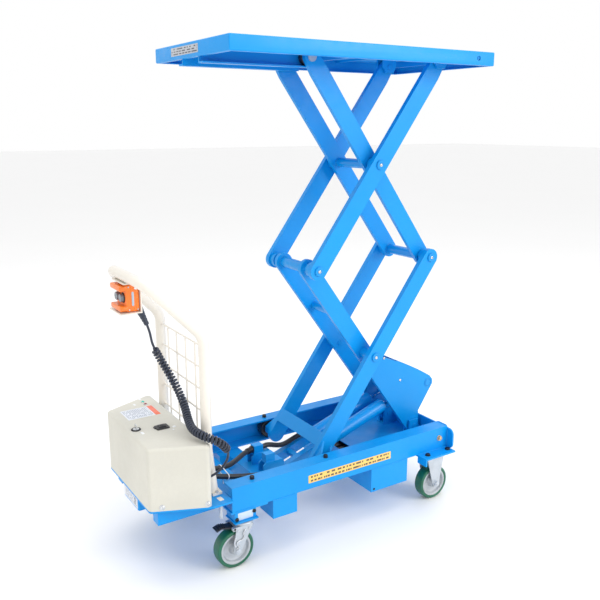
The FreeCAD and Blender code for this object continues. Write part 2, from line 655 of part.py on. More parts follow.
for side, name in [(-1, "near"), (1, "far")]:
    swivel_x, swivel_y = SWIVEL_AT[0], side * SWIVEL_AT[1]
    wheel_x = swivel_x - TRAIL
    wheel("swivel_wheel_" + name, wheel_x, swivel_y)
    head = bolt(swivel_x, swivel_y, 146, 33, 10)
    ears = box((wheel_x - 14, wheel_x), (swivel_y - 29.5, swivel_y + 29.5), (135.5, 146))
    yoke = fork(wheel_x, swivel_y, 146, swivel_x - 6, 30)
    ears = ears.cut(box((wheel_x - 15, wheel_x + 1), (swivel_y - 17, swivel_y + 17), (130, 150)))
    ears = ears.cut(across(PEDAL_AT, (swivel_y - 30, swivel_y + 30), 4 + RUNNING))
    save("swivel_fork_" + name, joined(yoke, head, ears))
    tread_plate = [
        (wheel_x - 10, 139), (wheel_x - 10, 144), (wheel_x - 50, 152), (wheel_x - 66, 146), (wheel_x - 64, 142),
        (wheel_x - 48, 147),
    ]
    pedal = joined(
        across(PEDAL_AT, (swivel_y - 24, swivel_y + 24), 4),
        upright(tread_plate, (swivel_y - 15, swivel_y + 15)),
    )
    save("brake_pedal_" + name, pedal)
    rigid_y = side * RIGID_AT[1]
    wheel("rigid_wheel_" + name, RIGID_AT[0], rigid_y)
save_both("rigid_forks", fork(RIGID_AT[0], RIGID_AT[1], 191, RIGID_AT[0] - 6, 44))

# ---------------------------------------------------------------- hose and battery cable
supply_hose = [
    V(DECK_X[1], -58, 292), V(-422, -58, 287), V(-382, -55, 272), V(-334, -46, 256), V(-284, -26, 248),
    V(-238, 4, 246), V(-200, 30, 248), V(UNION_X[0], CYLINDER_Y, UNION_Z),
]
save("supply_hose", sweep(supply_hose, HOSE_R).cut(cover).cut(mirrored(far_clevis)).cut(far_clevis))
battery_cable = [
    V(DECK_X[1], -84, 278), V(-422, -84, 273), V(-378, -83, 256), V(-322, -82, 238), V(-262, -84, 224),
    V(-200, -90, 215), V(-138, -97, 212), V(-76, -103, 209), V(-14, -106, 211), V(48, -104, 212),
    V(106, -106, 210), V(160, -105, 211), V(212, -105, 211),
]
save("battery_cable", sweep(battery_cable, HOSE_R).cut(cover))
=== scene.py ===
import json
import math

import bmesh
import bpy
import numpy as np
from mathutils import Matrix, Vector

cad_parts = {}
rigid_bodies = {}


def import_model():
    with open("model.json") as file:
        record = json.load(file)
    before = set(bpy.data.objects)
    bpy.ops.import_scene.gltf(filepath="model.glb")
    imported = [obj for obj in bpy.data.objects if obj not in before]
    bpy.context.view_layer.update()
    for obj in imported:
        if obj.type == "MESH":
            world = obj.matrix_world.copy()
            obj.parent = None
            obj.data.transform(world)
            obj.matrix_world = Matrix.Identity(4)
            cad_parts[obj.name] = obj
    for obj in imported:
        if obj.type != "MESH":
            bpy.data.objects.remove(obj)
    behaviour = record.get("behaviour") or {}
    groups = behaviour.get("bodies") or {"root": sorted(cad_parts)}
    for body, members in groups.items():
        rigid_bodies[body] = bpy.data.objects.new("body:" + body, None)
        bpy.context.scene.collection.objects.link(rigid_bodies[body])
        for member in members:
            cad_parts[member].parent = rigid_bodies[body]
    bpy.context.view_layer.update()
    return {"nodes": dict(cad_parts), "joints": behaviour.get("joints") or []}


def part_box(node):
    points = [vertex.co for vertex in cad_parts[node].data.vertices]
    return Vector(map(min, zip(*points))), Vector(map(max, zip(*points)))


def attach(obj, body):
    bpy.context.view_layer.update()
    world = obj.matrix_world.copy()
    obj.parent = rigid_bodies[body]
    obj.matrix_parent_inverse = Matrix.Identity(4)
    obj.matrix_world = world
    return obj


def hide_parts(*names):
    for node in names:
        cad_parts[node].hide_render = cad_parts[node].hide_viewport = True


bl_info = {
    "name": "Scissor Lift Table",
    "version": (1, 0, 0),
    "blender": (4, 5, 0),
    "location": "3D View > Sidebar > Lift Table",
    "description": "Dresses a battery powered double-scissor lift table around its packed frame",
    "category": "Object",
}

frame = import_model()

MM = 0.001
TAU = 2.0 * math.pi
SIDES = ("near", "far")
X_AXIS, Y_AXIS, Z_AXIS = np.eye(3)
WELD_WITHIN = 2e-6  # metres
SHARP_ANGLE = 32.0  # degrees


def corners_of(node):
    """The lowest and the highest corner of a frame node's box."""
    return [np.array(corner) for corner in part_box(node)]


def middle(node):
    """The centre of a frame node's box."""
    low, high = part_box(node)
    return np.array((low + high) / 2.0)


def joint_at(name):
    """The point that a joint of the frame turns about."""
    for joint in frame["joints"]:
        if joint["name"] == name:
            return np.array(joint["pos_m"], float)
    raise RuntimeError("the frame has no joint named " + name)


# ---------------------------------------------------------------- surfaces
def grid_faces(rows, columns, close_rows, close_columns):
    """Quads between neighbouring points of a rows by columns grid; a closed direction joins last to first."""
    i = np.arange(rows if close_rows else rows - 1)
    j = np.arange(columns if close_columns else columns - 1)
    a, b = [index.ravel() for index in np.meshgrid(i, j, indexing="ij")]
    a1, b1 = (a + 1) % rows, (b + 1) % columns
    return np.stack([a * columns + b, a1 * columns + b, a1 * columns + b1, a * columns + b1], -1)


def surface(points, close_rows=False, close_columns=False):
    """A grid of points, rows by columns by 3, with its quads."""
    rows, columns = points.shape[:2]
    return points.reshape(-1, 3), grid_faces(rows, columns, close_rows, close_columns)


def square_to(axis):
    """Two unit vectors square to an axis and to each other."""
    axis = np.asarray(axis, float) / np.linalg.norm(axis)
    helper = X_AXIS if abs(axis[0]) < 0.8 else Z_AXIS
    first = np.cross(axis, helper)
    first /= np.linalg.norm(first)
    return first, np.cross(axis, first), axis


def turned(profile, origin, axis, steps=40, across_flats=None, turn=0.0):
    """A profile of (radius, height) pairs turned about an axis through origin: point = origin + height *
    axis + radius * (cos u * first + sin u * second). With across_flats the radius is also held inside a
    hexagon."""
    profile = np.asarray(profile, float) * MM
    first, second, axis = square_to(axis)
    u = np.arange(steps) * TAU / steps + turn
    radius = np.broadcast_to(profile[None, :, 0], (steps, len(profile)))
    if across_flats:
        flat = across_flats * MM / 2.0 / np.cos((u - turn) % (TAU / 6.0) - TAU / 12.0)
        radius = np.minimum(radius, flat[:, None])
    points = (
        np.asarray(origin, float)
        + radius[..., None] * (np.cos(u)[:, None, None] * first + np.sin(u)[:, None, None] * second)
        + profile[None, :, 1, None] * axis
    )
    return surface(points, close_rows=True)


def rounded_profile(radius, low, high, edge, inner=0.0, steps=4):
    """(radius, height) pairs of a disc or ring with quarter-round outer edges; inner 0 closes it with
    poles."""
    t = np.linspace(0.0, math.pi / 2.0, steps + 1)
    lower = np.stack([radius - edge + edge * np.sin(t), low + edge - edge * np.cos(t)], -1)
    upper = np.stack([radius - edge + edge * np.cos(t), high - edge + edge * np.sin(t)], -1)
    ends = [[inner, low]], lower, upper, [[inner, high]]
    if inner > 0.0:
        ends = ends + ([[inner, low]],)
    return np.concatenate(ends)


def slab(size, thickness, corner, edge, origin, u_axis, v_axis, steps=6, edge_steps=3, both=True):
    """A rounded rectangle, size (u, v), that stands thickness high on origin: an outline of four quarter
    circles carried over a profile of (inset, height) pairs that rounds the upper edge, and the lower
    one too if both."""
    half = np.asarray(size, float) / 2.0
    t = np.linspace(0.0, math.pi / 2.0, edge_steps + 1)
    upper = np.stack([edge - edge * np.cos(t), thickness - edge + edge * np.sin(t)], -1)
    lower = np.stack([edge - edge * np.sin(t), edge - edge * np.cos(t)], -1) if both else np.zeros((1, 2))
    profile = np.concatenate([lower, upper])
    quarter = np.linspace(0.0, math.pi / 2.0, steps + 1)
    angle = (np.arange(4)[:, None] * math.pi / 2.0 + quarter[None]).ravel()
    sign = np.repeat([[1, 1], [-1, 1], [-1, -1], [1, -1]], steps + 1, 0)
    inset = profile[:, 0]
    radius = np.maximum(corner - inset, 0.0)
    flat = half[None, None] - inset[None, :, None] - radius[None, :, None]
    ring = sign[:, None] * flat + radius[None, :, None] * np.stack(
        [np.cos(angle), np.sin(angle)], -1,
    )[:, None]
    ring = np.concatenate([np.zeros((len(ring), 1, 2)), ring, np.zeros((len(ring), 1, 2))], 1)
    height = np.concatenate([[profile[0, 1]], profile[:, 1], [profile[-1, 1]]])
    u_axis, v_axis = np.asarray(u_axis, float), np.asarray(v_axis, float)
    w_axis = np.cross(u_axis, v_axis)
    points = (
        np.asarray(origin, float)
        + ring[..., :1] * MM * u_axis
        + ring[..., 1:] * MM * v_axis
        + height[None, :, None] * MM * w_axis
    )
    return surface(points, close_rows=True)


def plate(*where):
    """A slab whose lower edge stays square, because it lies on a surface."""
    return slab(*where, both=False)


def carried(path, outline, across, closed=False):
    """A closed outline of (side, out) pairs carried along a path: side is square to the path and to
    across, and out runs along across. Open paths get flat end caps that shrink to the path's own end
    points."""
    path = np.asarray(path, float)
    outline = np.asarray(outline, float) * MM
    if closed:
        along = np.roll(path, -1, 0) - np.roll(path, 1, 0)
    else:
        along = np.gradient(path, axis=0)
    along /= np.linalg.norm(along, axis=1, keepdims=True)
    across = np.broadcast_to(np.asarray(across, float), path.shape)
    side = np.cross(along, across)
    side /= np.linalg.norm(side, axis=1, keepdims=True)
    out = np.cross(side, along)
    points = path[:, None] + outline[None, :, :1] * side[:, None] + outline[None, :, 1:] * out[:, None]
    if not closed:
        caps = np.broadcast_to(path[[0, -1], None], (2, len(outline), 3))
        points = np.concatenate([caps[:1], points, caps[1:]])
    return surface(points, close_rows=closed, close_columns=True)


def circle(radius, steps=12):
    """A round outline for carried."""
    t = np.arange(steps) * TAU / steps
    return np.stack([radius * np.cos(t), radius * np.sin(t)], -1)


def band(width, thickness, round_off=0.35):
    """A flat strap's outline for carried, with its four corners taken off."""
    w, h = width / 2.0, thickness / 2.0
    c = min(w, h) * round_off
    return [
        (w, -h + c), (w, h - c), (w - c, h), (-w + c, h), (-w, h - c), (-w, -h + c), (-w + c, -h),
        (w - c, -h),
    ]


def smooth_path(corners, count=40):
    """Points on a spline through the corners: each span is a cubic whose end slopes are those of its
    neighbours."""
    corners = np.asarray(corners, float)
    padded = np.concatenate([2 * corners[:1] - corners[1:2], corners, 2 * corners[-1:] - corners[-2:-1]])
    t = np.linspace(0.0, len(corners) - 1 - 1e-9, count)
    k = t.astype(int)
    f = (t - k)[:, None]
    a, b, c, d = padded[k], padded[k + 1], padded[k + 2], padded[k + 3]
    return 0.5 * (2 * b + (c - a) * f + (2 * a - 5 * b + 4 * c - d) * f**2 + (3 * b - a - 3 * c + d) * f**3)


def weld(start, end, radius, out, ripple=4.0):
    """A weld bead between two points: a tube whose radius swells and falls with each ripple along it and
    closes to nothing at both ends. out is the direction that the bead stands towards."""
    start, end = np.asarray(start, float), np.asarray(end, float)
    length = np.linalg.norm(end - start)
    ripples = max(3, int(round(length / MM / ripple)))
    s = np.linspace(0.0, 1.0, ripples * 3 + 1)
    swell = np.sqrt(np.maximum(1.0 - np.abs(2.0 * s - 1.0) ** (2 * ripples), 0.0))
    swell = swell * (0.88 + 0.12 * np.cos(TAU * ripples * s))
    path = start + s[:, None] * (end - start)
    along = (end - start) / length
    out = np.asarray(out, float) / np.linalg.norm(out)
    side = np.cross(along, out)
    ring = circle(radius, 8) * MM
    points = path[:, None] + swell[:, None, None] * (ring[None, :, :1] * side + ring[None, :, 1:] * out)
    return surface(points, close_columns=True)


def closed_mesh(name, points, faces):
    """A mesh of these points and faces, welded at seams and poles, with its faces outwards."""
    mesh = bpy.data.meshes.new(name)
    mesh.from_pydata(points.tolist(), [], faces.tolist())
    work = bmesh.new()
    work.from_mesh(mesh)
    bmesh.ops.remove_doubles(work, verts=work.verts, dist=WELD_WITHIN)
    bmesh.ops.recalc_face_normals(work, faces=work.faces)
    work.to_mesh(mesh)
    work.free()
    return mesh


def piece(name, surfaces, body, material, sharp=SHARP_ANGLE):
    """One mesh object out of several surfaces, welded at seams and poles, that rides on a body."""
    points, faces, start = [], [], 0
    for own_points, own_faces in surfaces:
        points.append(own_points)
        faces.append(own_faces + start)
        start += len(own_points)
    mesh = closed_mesh(name, np.concatenate(points), np.concatenate(faces))
    mesh.shade_smooth()
    mesh.set_sharp_from_angle(angle=math.radians(sharp))
    made = bpy.data.objects.new(name, mesh)
    bpy.context.scene.collection.objects.link(made)
    mesh.materials.append(finish(material))
    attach(made, body)
    return made


# ---------------------------------------------------------------- finishes
class Recipe:
    """A material under construction, with short ways to add nodes that all read Object coordinates."""

    def __init__(self, name):
        self.material = bpy.data.materials.new(name)
        self.material.use_nodes = True
        self.tree = self.material.node_tree
        self.tree.nodes.clear()
        self.shader = self.add("ShaderNodeBsdfPrincipled")
        output = self.add("ShaderNodeOutputMaterial")
        self.tree.links.new(self.shader.outputs["BSDF"], output.inputs["Surface"])
        self.place = self.add("ShaderNodeTexCoord").outputs["Object"]

    def add(self, kind, **settings):
        node = self.tree.nodes.new(kind)
        for key, value in settings.items():
            setattr(node, key, value)
        return node

    def put(self, socket, value):
        """Links an output to a socket, or sets the socket's own value."""
        if isinstance(value, bpy.types.NodeSocket):
            self.tree.links.new(value, socket)
        else:
            socket.default_value = value

    def set(self, **sockets):
        for key, value in sockets.items():
            self.put(self.shader.inputs[key.replace("_", " ")], value)

    def math(self, operation, first, second=0.0, clamp=False):
        node = self.add("ShaderNodeMath", operation=operation, use_clamp=clamp)
        self.put(node.inputs[0], first)
        self.put(node.inputs[1], second)
        return node.outputs[0]

    def mapped(self, scale, turn=(0.0, 0.0, 0.0), shift=(0.0, 0.0, 0.0)):
        node = self.add("ShaderNodeMapping")
        self.put(node.inputs["Vector"], self.place)
        self.put(node.inputs["Location"], shift)
        self.put(node.inputs["Rotation"], turn)
        self.put(node.inputs["Scale"], scale)
        return node.outputs[0]

    def noise(self, scale, detail=3.0, rough=0.5, where=None, twist=0.0):
        node = self.add("ShaderNodeTexNoise")
        self.put(node.inputs["Vector"], where or self.place)
        self.put(node.inputs["Scale"], scale)
        self.put(node.inputs["Detail"], detail)
        self.put(node.inputs["Roughness"], rough)
        self.put(node.inputs["Distortion"], twist)
        return node.outputs["Fac"]

    def cells(self, scale, feature="F1", out="Distance"):
        node = self.add("ShaderNodeTexVoronoi", feature=feature)
        self.put(node.inputs["Vector"], self.place)
        self.put(node.inputs["Scale"], scale)
        return node.outputs[out]

    def between(self, value, low, high, from_value=0.0, to_value=1.0):
        """A smooth step of value from low to high."""
        node = self.add("ShaderNodeMapRange", interpolation_type="SMOOTHSTEP")
        for socket, number in zip(node.inputs[:5], (value, low, high, from_value, to_value)):
            self.put(socket, number)
        return node.outputs[0]

    def mix(self, factor, first, second):
        node = self.add("ShaderNodeMix", data_type="RGBA")
        self.put(node.inputs[0], factor)
        self.put(node.inputs[6], (*first, 1.0) if isinstance(first, tuple) else first)
        self.put(node.inputs[7], (*second, 1.0) if isinstance(second, tuple) else second)
        return node.outputs[2]

    def axis(self, index):
        """One object coordinate."""
        node = self.add("ShaderNodeSeparateXYZ")
        self.put(node.inputs[0], self.place)
        return node.outputs[index]

    def facing(self, index):
        """One part of the surface's own direction."""
        node = self.add("ShaderNodeSeparateXYZ")
        self.put(node.inputs[0], self.add("ShaderNodeNewGeometry").outputs["Normal"])
        return node.outputs[index]

    def edges(self, radius, low=0.02, high=0.16):
        """1 along outer edges and 0 on open faces: how far a rounded normal leans from the plain one."""
        rounded = self.add("ShaderNodeBevel", samples=4)
        self.put(rounded.inputs["Radius"], radius)
        lean = self.add("ShaderNodeVectorMath", operation="DOT_PRODUCT")
        self.put(lean.inputs[0], rounded.outputs[0])
        self.put(lean.inputs[1], self.add("ShaderNodeNewGeometry").outputs["Normal"])
        return self.between(self.math("SUBTRACT", 1.0, lean.outputs["Value"]), low, high)

    def bump(self, height, distance, round_edges=0.0):
        node = self.add("ShaderNodeBump")
        self.put(node.inputs["Height"], height)
        self.put(node.inputs["Distance"], distance)
        if round_edges:
            rounded = self.add("ShaderNodeBevel", samples=4)
            self.put(rounded.inputs["Radius"], round_edges)
            self.put(node.inputs["Normal"], rounded.outputs[0])
        self.put(self.shader.inputs["Normal"], node.outputs[0])


def tint(colour, amount):
    """A colour scaled, kept between 0 and 1."""
    return tuple(min(1.0, max(0.0, part * amount)) for part in colour)


def painted(name, colour, worn, gloss=0.34, coat=0.25, orange_peel=0.00006, round_edges=0.0012, chips=0.5):
    """Sprayed enamel: slow drifts of tone, orange peel, a thin dust on faces that look up, and edges
    rubbed lighter in patches with a few chips."""
    n = Recipe(name)
    drift = n.between(n.noise(3.5, 2.0), 0.3, 0.7)
    base = n.mix(drift, tint(colour, 0.95), tint(colour, 1.05))
    fine = n.noise(90.0, 4.0, 0.6)
    base = n.mix(n.between(fine, 0.35, 0.65, 0.0, 0.2), base, tint(colour, 0.92))
    dust = n.math(
        "MULTIPLY", n.between(n.facing(2), 0.7, 1.0),
        n.between(n.noise(14.0, 5.0, 0.65), 0.45, 0.8, 0.0, 0.07),
    )
    base = n.mix(dust, base, worn)
    rubbed = n.math("MULTIPLY", n.edges(0.0016), n.between(n.noise(22.0, 4.0, 0.7), 0.42, 0.66, 0.0, chips))
    base = n.mix(rubbed, base, worn)
    n.set(Base_Color=base, Coat_Weight=coat, Coat_Roughness=0.12, Specular_IOR_Level=0.3)
    n.set(Roughness=n.between(n.noise(30.0, 4.0), 0.25, 0.75, gloss - 0.05, gloss + 0.1))
    n.bump(n.noise(330.0, 2.0, 0.4), orange_peel, round_edges)
    return n.material


def metal(name, colour, rough, spangle=0.0, brushed=0.0, metallic=1.0, stain=(0.3, 0.29, 0.27)):
    """Bare or plated metal: spangle gives plated crystals, brushed gives fine lines, stain collects in
    patches."""
    n = Recipe(name)
    base = n.mix(n.between(n.noise(16.0, 5.0, 0.6), 0.4, 0.75), colour, tint(colour, 0.84))
    if spangle:
        crystals = n.cells(190.0, out="Color")
        grey = n.add("ShaderNodeRGBToBW")
        n.put(grey.inputs[0], crystals)
        base = n.mix(n.between(grey.outputs[0], 0.2, 0.9, 0.0, spangle), base, tint(colour, 1.25))
    base = n.mix(n.between(n.noise(42.0, 6.0, 0.7), 0.6, 0.85, 0.0, 0.35), base, stain)
    n.set(Base_Color=base, Metallic=metallic)
    n.set(Roughness=n.between(n.noise(55.0, 5.0), 0.3, 0.7, rough * 0.8, rough * 1.35))
    lines = n.noise(60.0, 3.0, where=n.mapped((1.0, 30.0, 1.0))) if brushed else n.noise(260.0, 3.0)
    n.bump(lines, 0.00003 + 0.00005 * brushed, 0.0007)
    return n.material


def moulded(
    name, colour, rough, grain=0.00006, grain_scale=420.0, round_edges=0.0008, sheen=0.0, worn=None, coat=0.0,
):
    """Moulded plastic or rubber: a fine eroded grain, faint flow marks and edges that have gone paler."""
    n = Recipe(name)
    flow = n.between(n.noise(9.0, 3.0, 0.55, twist=0.6), 0.3, 0.7)
    base = n.mix(flow, tint(colour, 0.9), tint(colour, 1.1))
    base = n.mix(n.between(n.noise(70.0, 5.0, 0.7), 0.58, 0.8, 0.0, 0.3), base, worn or tint(colour, 1.5))
    base = n.mix(n.math("MULTIPLY", n.edges(0.0012), 0.35), base, worn or tint(colour, 1.6))
    n.set(Base_Color=base, Sheen_Weight=sheen, Coat_Weight=coat, Coat_Roughness=0.2)
    n.set(Roughness=n.between(n.noise(48.0, 4.0), 0.3, 0.7, rough - 0.06, rough + 0.08))
    n.bump(n.noise(grain_scale, 3.0, 0.6), grain, round_edges)
    return n.material


def tread(name, colour):
    """Polyurethane tyre: drifting tone, and paler scuffs drawn out along the axle that also set its roughness
    and bump.
    """
    n = Recipe(name)
    base = n.mix(n.between(n.noise(20.0, 5.0, 0.6), 0.35, 0.7), tint(colour, 0.85), tint(colour, 1.12))
    scuffs = n.noise(120.0, 6.0, 0.75, where=n.mapped((1.0, 0.25, 1.0)))
    base = n.mix(n.between(scuffs, 0.57, 0.75, 0.0, 0.4), base, (0.16, 0.2, 0.17))
    n.set(Base_Color=base, Coat_Weight=0.2, Coat_Roughness=0.25)
    n.set(Roughness=n.between(scuffs, 0.3, 0.7, 0.3, 0.5))
    n.bump(scuffs, 0.0001)
    return n.material


def printed(
    name, ground, ink, rows, row_height, along, up, first_row, cover, band_from=None, band_colour=None,
):
    """A sticker: rows of ink bars of uneven length on a coloured ground, with clear margins, and a
    coloured band across one end if band_from is given. along and up are the object axes that the rows
    and columns follow."""
    n = Recipe(name)
    u, v = n.axis(along), n.axis(up)
    row = n.math("DIVIDE", n.math("SUBTRACT", v, first_row), row_height)
    inside_row = n.math("FRACT", row)
    bars = n.math("MULTIPLY", n.between(inside_row, 0.22, 0.3), n.between(inside_row, 0.72, 0.8, 1.0, 0.0))
    limits = n.math("MULTIPLY", n.between(row, 0.0, 0.02), n.between(row, rows - 0.02, rows, 1.0, 0.0))
    joined = n.add("ShaderNodeCombineXYZ")
    n.put(joined.inputs[0], n.math("MULTIPLY", u, cover[2]))
    n.put(joined.inputs[1], n.math("MULTIPLY", n.math("FLOOR", row), 7.3))
    words = n.between(n.noise(1.0, 0.0, where=joined.outputs[0]), cover[3] - 0.01, cover[3] + 0.01)
    margins = n.math(
        "MULTIPLY", n.between(u, cover[0], cover[0] + 0.0004),
        n.between(u, cover[1] - 0.0004, cover[1], 1.0, 0.0),
    )
    mask = n.math("MULTIPLY", n.math("MULTIPLY", bars, limits), n.math("MULTIPLY", words, margins))
    base = n.mix(n.between(n.noise(25.0, 4.0), 0.4, 0.8, 0.0, 0.25), ground, tint(ground, 0.86))
    if band_colour:
        base = n.mix(n.between(v, band_from, band_from + 0.0003), base, band_colour)
    base = n.mix(mask, base, ink)
    n.set(Base_Color=base, Coat_Weight=0.35, Coat_Roughness=0.15)
    n.set(Roughness=n.between(n.noise(60.0, 4.0), 0.3, 0.7, 0.3, 0.45))
    n.bump(n.noise(180.0, 3.0), 0.00003)
    return n.material


def glowing(name, colour, strength):
    """A tinted lens over a lamp."""
    n = Recipe(name)
    n.set(
        Base_Color=n.mix(n.noise(200.0, 2.0), colour, tint(colour, 0.7)), Coat_Weight=0.8,
        Coat_Roughness=0.03,
    )
    n.set(Emission_Color=(*colour, 1.0), Emission_Strength=strength)
    n.set(Roughness=n.between(n.noise(300.0, 2.0), 0.3, 0.7, 0.12, 0.22))
    return n.material


def finish(name):
    """The material of that name, made the first time that it is asked for."""
    found = bpy.data.materials.get(name)
    if found:
        return found
    colours = bpy.context.scene.lift_finishes
    blue, cream, handle = tuple(colours.blue), tuple(colours.cream), tuple(colours.handle)
    orange, rubber, green = tuple(colours.orange), tuple(colours.rubber), tuple(colours.green)
    zinc = tuple(colours.zinc)
    warning_low, warning_high = LABEL_ROWS["warning"]
    makers = {
        "Blue enamel": lambda: painted(name, blue, (0.1, 0.5, 0.85), 0.38, 0.08, chips=0.3),
        "Blue enamel on rolled tube": lambda: painted(
            name, tint(blue, 0.97), (0.12, 0.52, 0.86), 0.3, 0.2, chips=0.3,
        ),
        "Cream powder coat": lambda: painted(name, cream, (0.74, 0.73, 0.67), 0.5, 0.04, 0.00008, 0.0, 0.2),
        "Cream enamel on tube": lambda: painted(
            name, handle, (0.9, 0.87, 0.8), 0.32, 0.3, 0.00004, 0.0006, 0.2,
        ),
        "Zinc plate": lambda: metal(name, zinc, 0.4, spangle=0.12, brushed=0.3, metallic=0.7),
        "Bright screw steel": lambda: metal(name, (0.66, 0.68, 0.7), 0.24, brushed=0.4),
        "Black oxide steel": lambda: metal(
            name, (0.045, 0.045, 0.05), 0.38, metallic=0.8, stain=(0.1, 0.08, 0.07),
        ),
        "Yellow zinc steel": lambda: metal(
            name, (0.72, 0.5, 0.3), 0.3, spangle=0.2, stain=(0.45, 0.28, 0.16),
        ),
        "Hard chrome": lambda: metal(name, (0.86, 0.87, 0.88), 0.07, brushed=0.6, stain=(0.6, 0.58, 0.55)),
        "Brass fitting": lambda: metal(name, (0.75, 0.6, 0.32), 0.28, stain=(0.35, 0.27, 0.15)),
        "Cast wheel centre": lambda: metal(name, (0.5, 0.53, 0.56), 0.42, spangle=0.15, metallic=0.6),
        "Orange shell plastic": lambda: moulded(name, orange, 0.34, worn=(1.0, 0.5, 0.2), coat=0.25),
        "Navy cord rubber": lambda: moulded(
            name, rubber, 0.36, 0.00003, 300.0, 0.0, 0.15, (0.06, 0.08, 0.13), 0.15,
        ),
        "Black hose rubber": lambda: moulded(
            name, (0.014, 0.015, 0.018), 0.42, 0.00008, 260.0, 0.0, 0.1, (0.07, 0.07, 0.08),
        ),
        "Black moulding": lambda: moulded(name, (0.016, 0.016, 0.019), 0.38, worn=(0.08, 0.08, 0.085)),
        "Roller nylon": lambda: moulded(name, (0.02, 0.02, 0.023), 0.3, coat=0.2, worn=(0.09, 0.09, 0.09)),
        "Grey key plastic": lambda: moulded(name, (0.16, 0.18, 0.21), 0.25, coat=0.4),
        "Grey blue insert": lambda: moulded(name, (0.4, 0.48, 0.58), 0.4),
        "Dark red patch": lambda: moulded(name, (0.14, 0.02, 0.02), 0.35),
        "White tie plastic": lambda: moulded(name, (0.78, 0.8, 0.82), 0.4),
        "Green tyre": lambda: tread(name, green),
        "Green lamp lens": lambda: glowing(name, (0.02, 0.4, 0.3), 0.5),
        "Red lamp lens": lambda: glowing(name, (0.25, 0.01, 0.02), 0.15),
        "Warning sticker": lambda: printed(
            name, (0.9, 0.58, 0.14), (0.12, 0.08, 0.05), 2, (
                warning_high - warning_low
            ) / 2.0, 0, 2, warning_low,
            (-0.092, 0.242, 130.0, 0.45),
        ),
        "Instruction sticker": lambda: printed(
            name, (0.74, 0.77, 0.83), (0.34, 0.38, 0.46), 15, 0.0056, 1, 0, -0.598, (
                0.066, 0.140, 95.0, 0.43,
            ),
            -0.510, (0.85, 0.13, 0.05),
        ),
        "Rating sticker": lambda: printed(
            name, (0.42, 0.45, 0.5), (0.05, 0.06, 0.08), 3, 0.0072, 1, 2, 1.5876, (-0.062, 0.126, 90.0, 0.42),
        ),
        "Worn sticker": lambda: printed(
            name, (0.55, 0.66, 0.76), (0.1, 0.36, 0.66), 3, 0.009, 0, 2, 0.2, (-1.0, 1.0, 80.0, 0.5),
        ),
        "Charger sticker": lambda: printed(
            name, (0.66, 0.68, 0.72), (0.3, 0.34, 0.42), 6, 0.0058, 1, 2, 0.203, (-0.052, 0.05, 110.0, 0.45),
        ),
    }
    return makers[name]()


LABEL_ROWS = {"warning": (0.2185, 0.2455)}


# ---------------------------------------------------------------- stage and camera
def colour_setting(name, about, value):
    """A colour that the panel shows."""
    return bpy.props.FloatVectorProperty(
        name=name, description=about, default=value, min=0.0, max=1.0, subtype="COLOR",
    )


def length_setting(name, about, value):
    """A length that the panel shows."""
    return bpy.props.FloatProperty(name=name, description=about, default=value, unit="LENGTH")


def power_setting(name, about, value):
    """A light's power that the panel shows."""
    return bpy.props.FloatProperty(name=name, description=about, default=value, min=0.0, unit="POWER")


class LiftStage(bpy.types.PropertyGroup):
    """The camera, the floor and the lights."""

    camera_place: bpy.props.FloatVectorProperty(
        name="Camera place", description="Where the camera stands", default=(-1.3234, -2.0876, 1.3803),
        subtype="TRANSLATION", unit="LENGTH",
    )
    camera_yaw: bpy.props.FloatProperty(
        name="Camera yaw", description="Turn of the view from straight ahead", default=math.radians(-32.7),
        subtype="ANGLE",
    )
    camera_tilt: bpy.props.FloatProperty(
        name="Camera tilt", description="Turn of the camera up from straight down",
        default=math.radians(76.5),
        subtype="ANGLE",
    )
    lens: bpy.props.FloatProperty(
        name="Lens", description="Focal length on a 36 mm wide sensor", default=43.7,
        subtype="DISTANCE_CAMERA",
    )
    key_power: power_setting("Key light", "Power of the large light on the near side", 125.0)
    fill_power: power_setting("Fill light", "Power of the light beside the handle", 16.0)
    top_power: power_setting("Top light", "Power of the soft box overhead", 60.0)
    floor_tone: colour_setting("Floor", "Colour of the floor", (0.93, 0.93, 0.93))
    sky: bpy.props.FloatProperty(
        name="Surround", description="Brightness of the white surround", default=1.0, min=0.0,
    )


class LiftFinishes(bpy.types.PropertyGroup):
    """The main colours of the table."""

    blue: colour_setting("Blue", "Enamel of the scissor, chassis and platform", (0.0, 0.29, 0.74))
    cream: colour_setting("Cream", "Powder coat of the power cover", (0.63, 0.615, 0.545))
    handle: colour_setting("Handle cream", "Enamel of the push handle and guard", (0.79, 0.745, 0.665))
    orange: colour_setting("Orange", "Shell of the hand control", (0.9, 0.2, 0.018))
    rubber: colour_setting("Navy", "Rubber of the curly cord and its boot", (0.011, 0.019, 0.042))
    green: colour_setting("Green", "Tyres of the casters", (0.004, 0.12, 0.062))
    zinc: colour_setting("Zinc", "Plating of the caster forks", (0.56, 0.6, 0.64))


class LiftCords(bpy.types.PropertyGroup):
    """The curly cord and the two hoses."""

    cord_radius: length_setting("Cord radius", "Half the thickness of the hand control's cord", 4.0 * MM)
    coil_radius: length_setting("Coil radius", "From the coil's middle to the cord's middle", 10.0 * MM)
    coil_pitch: length_setting("Coil pitch", "Distance from one turn to the next", 10.8 * MM)
    hose_radius: length_setting(
        "Hose radius", "Half the thickness of the hose and the battery cable", 9.0 * MM,
    )


def area_light(name, place, aim, size, power, colour=(1.0, 1.0, 1.0)):
    data = bpy.data.lights.new(name, "AREA")
    data.shape = "RECTANGLE"
    data.size, data.size_y = size
    data.energy = power
    data.color = colour
    light = bpy.data.objects.new(name, data)
    light.location = place
    light.rotation_euler = (Vector(aim) - Vector(place)).to_track_quat("-Z", "Y").to_euler()
    bpy.context.scene.collection.objects.link(light)


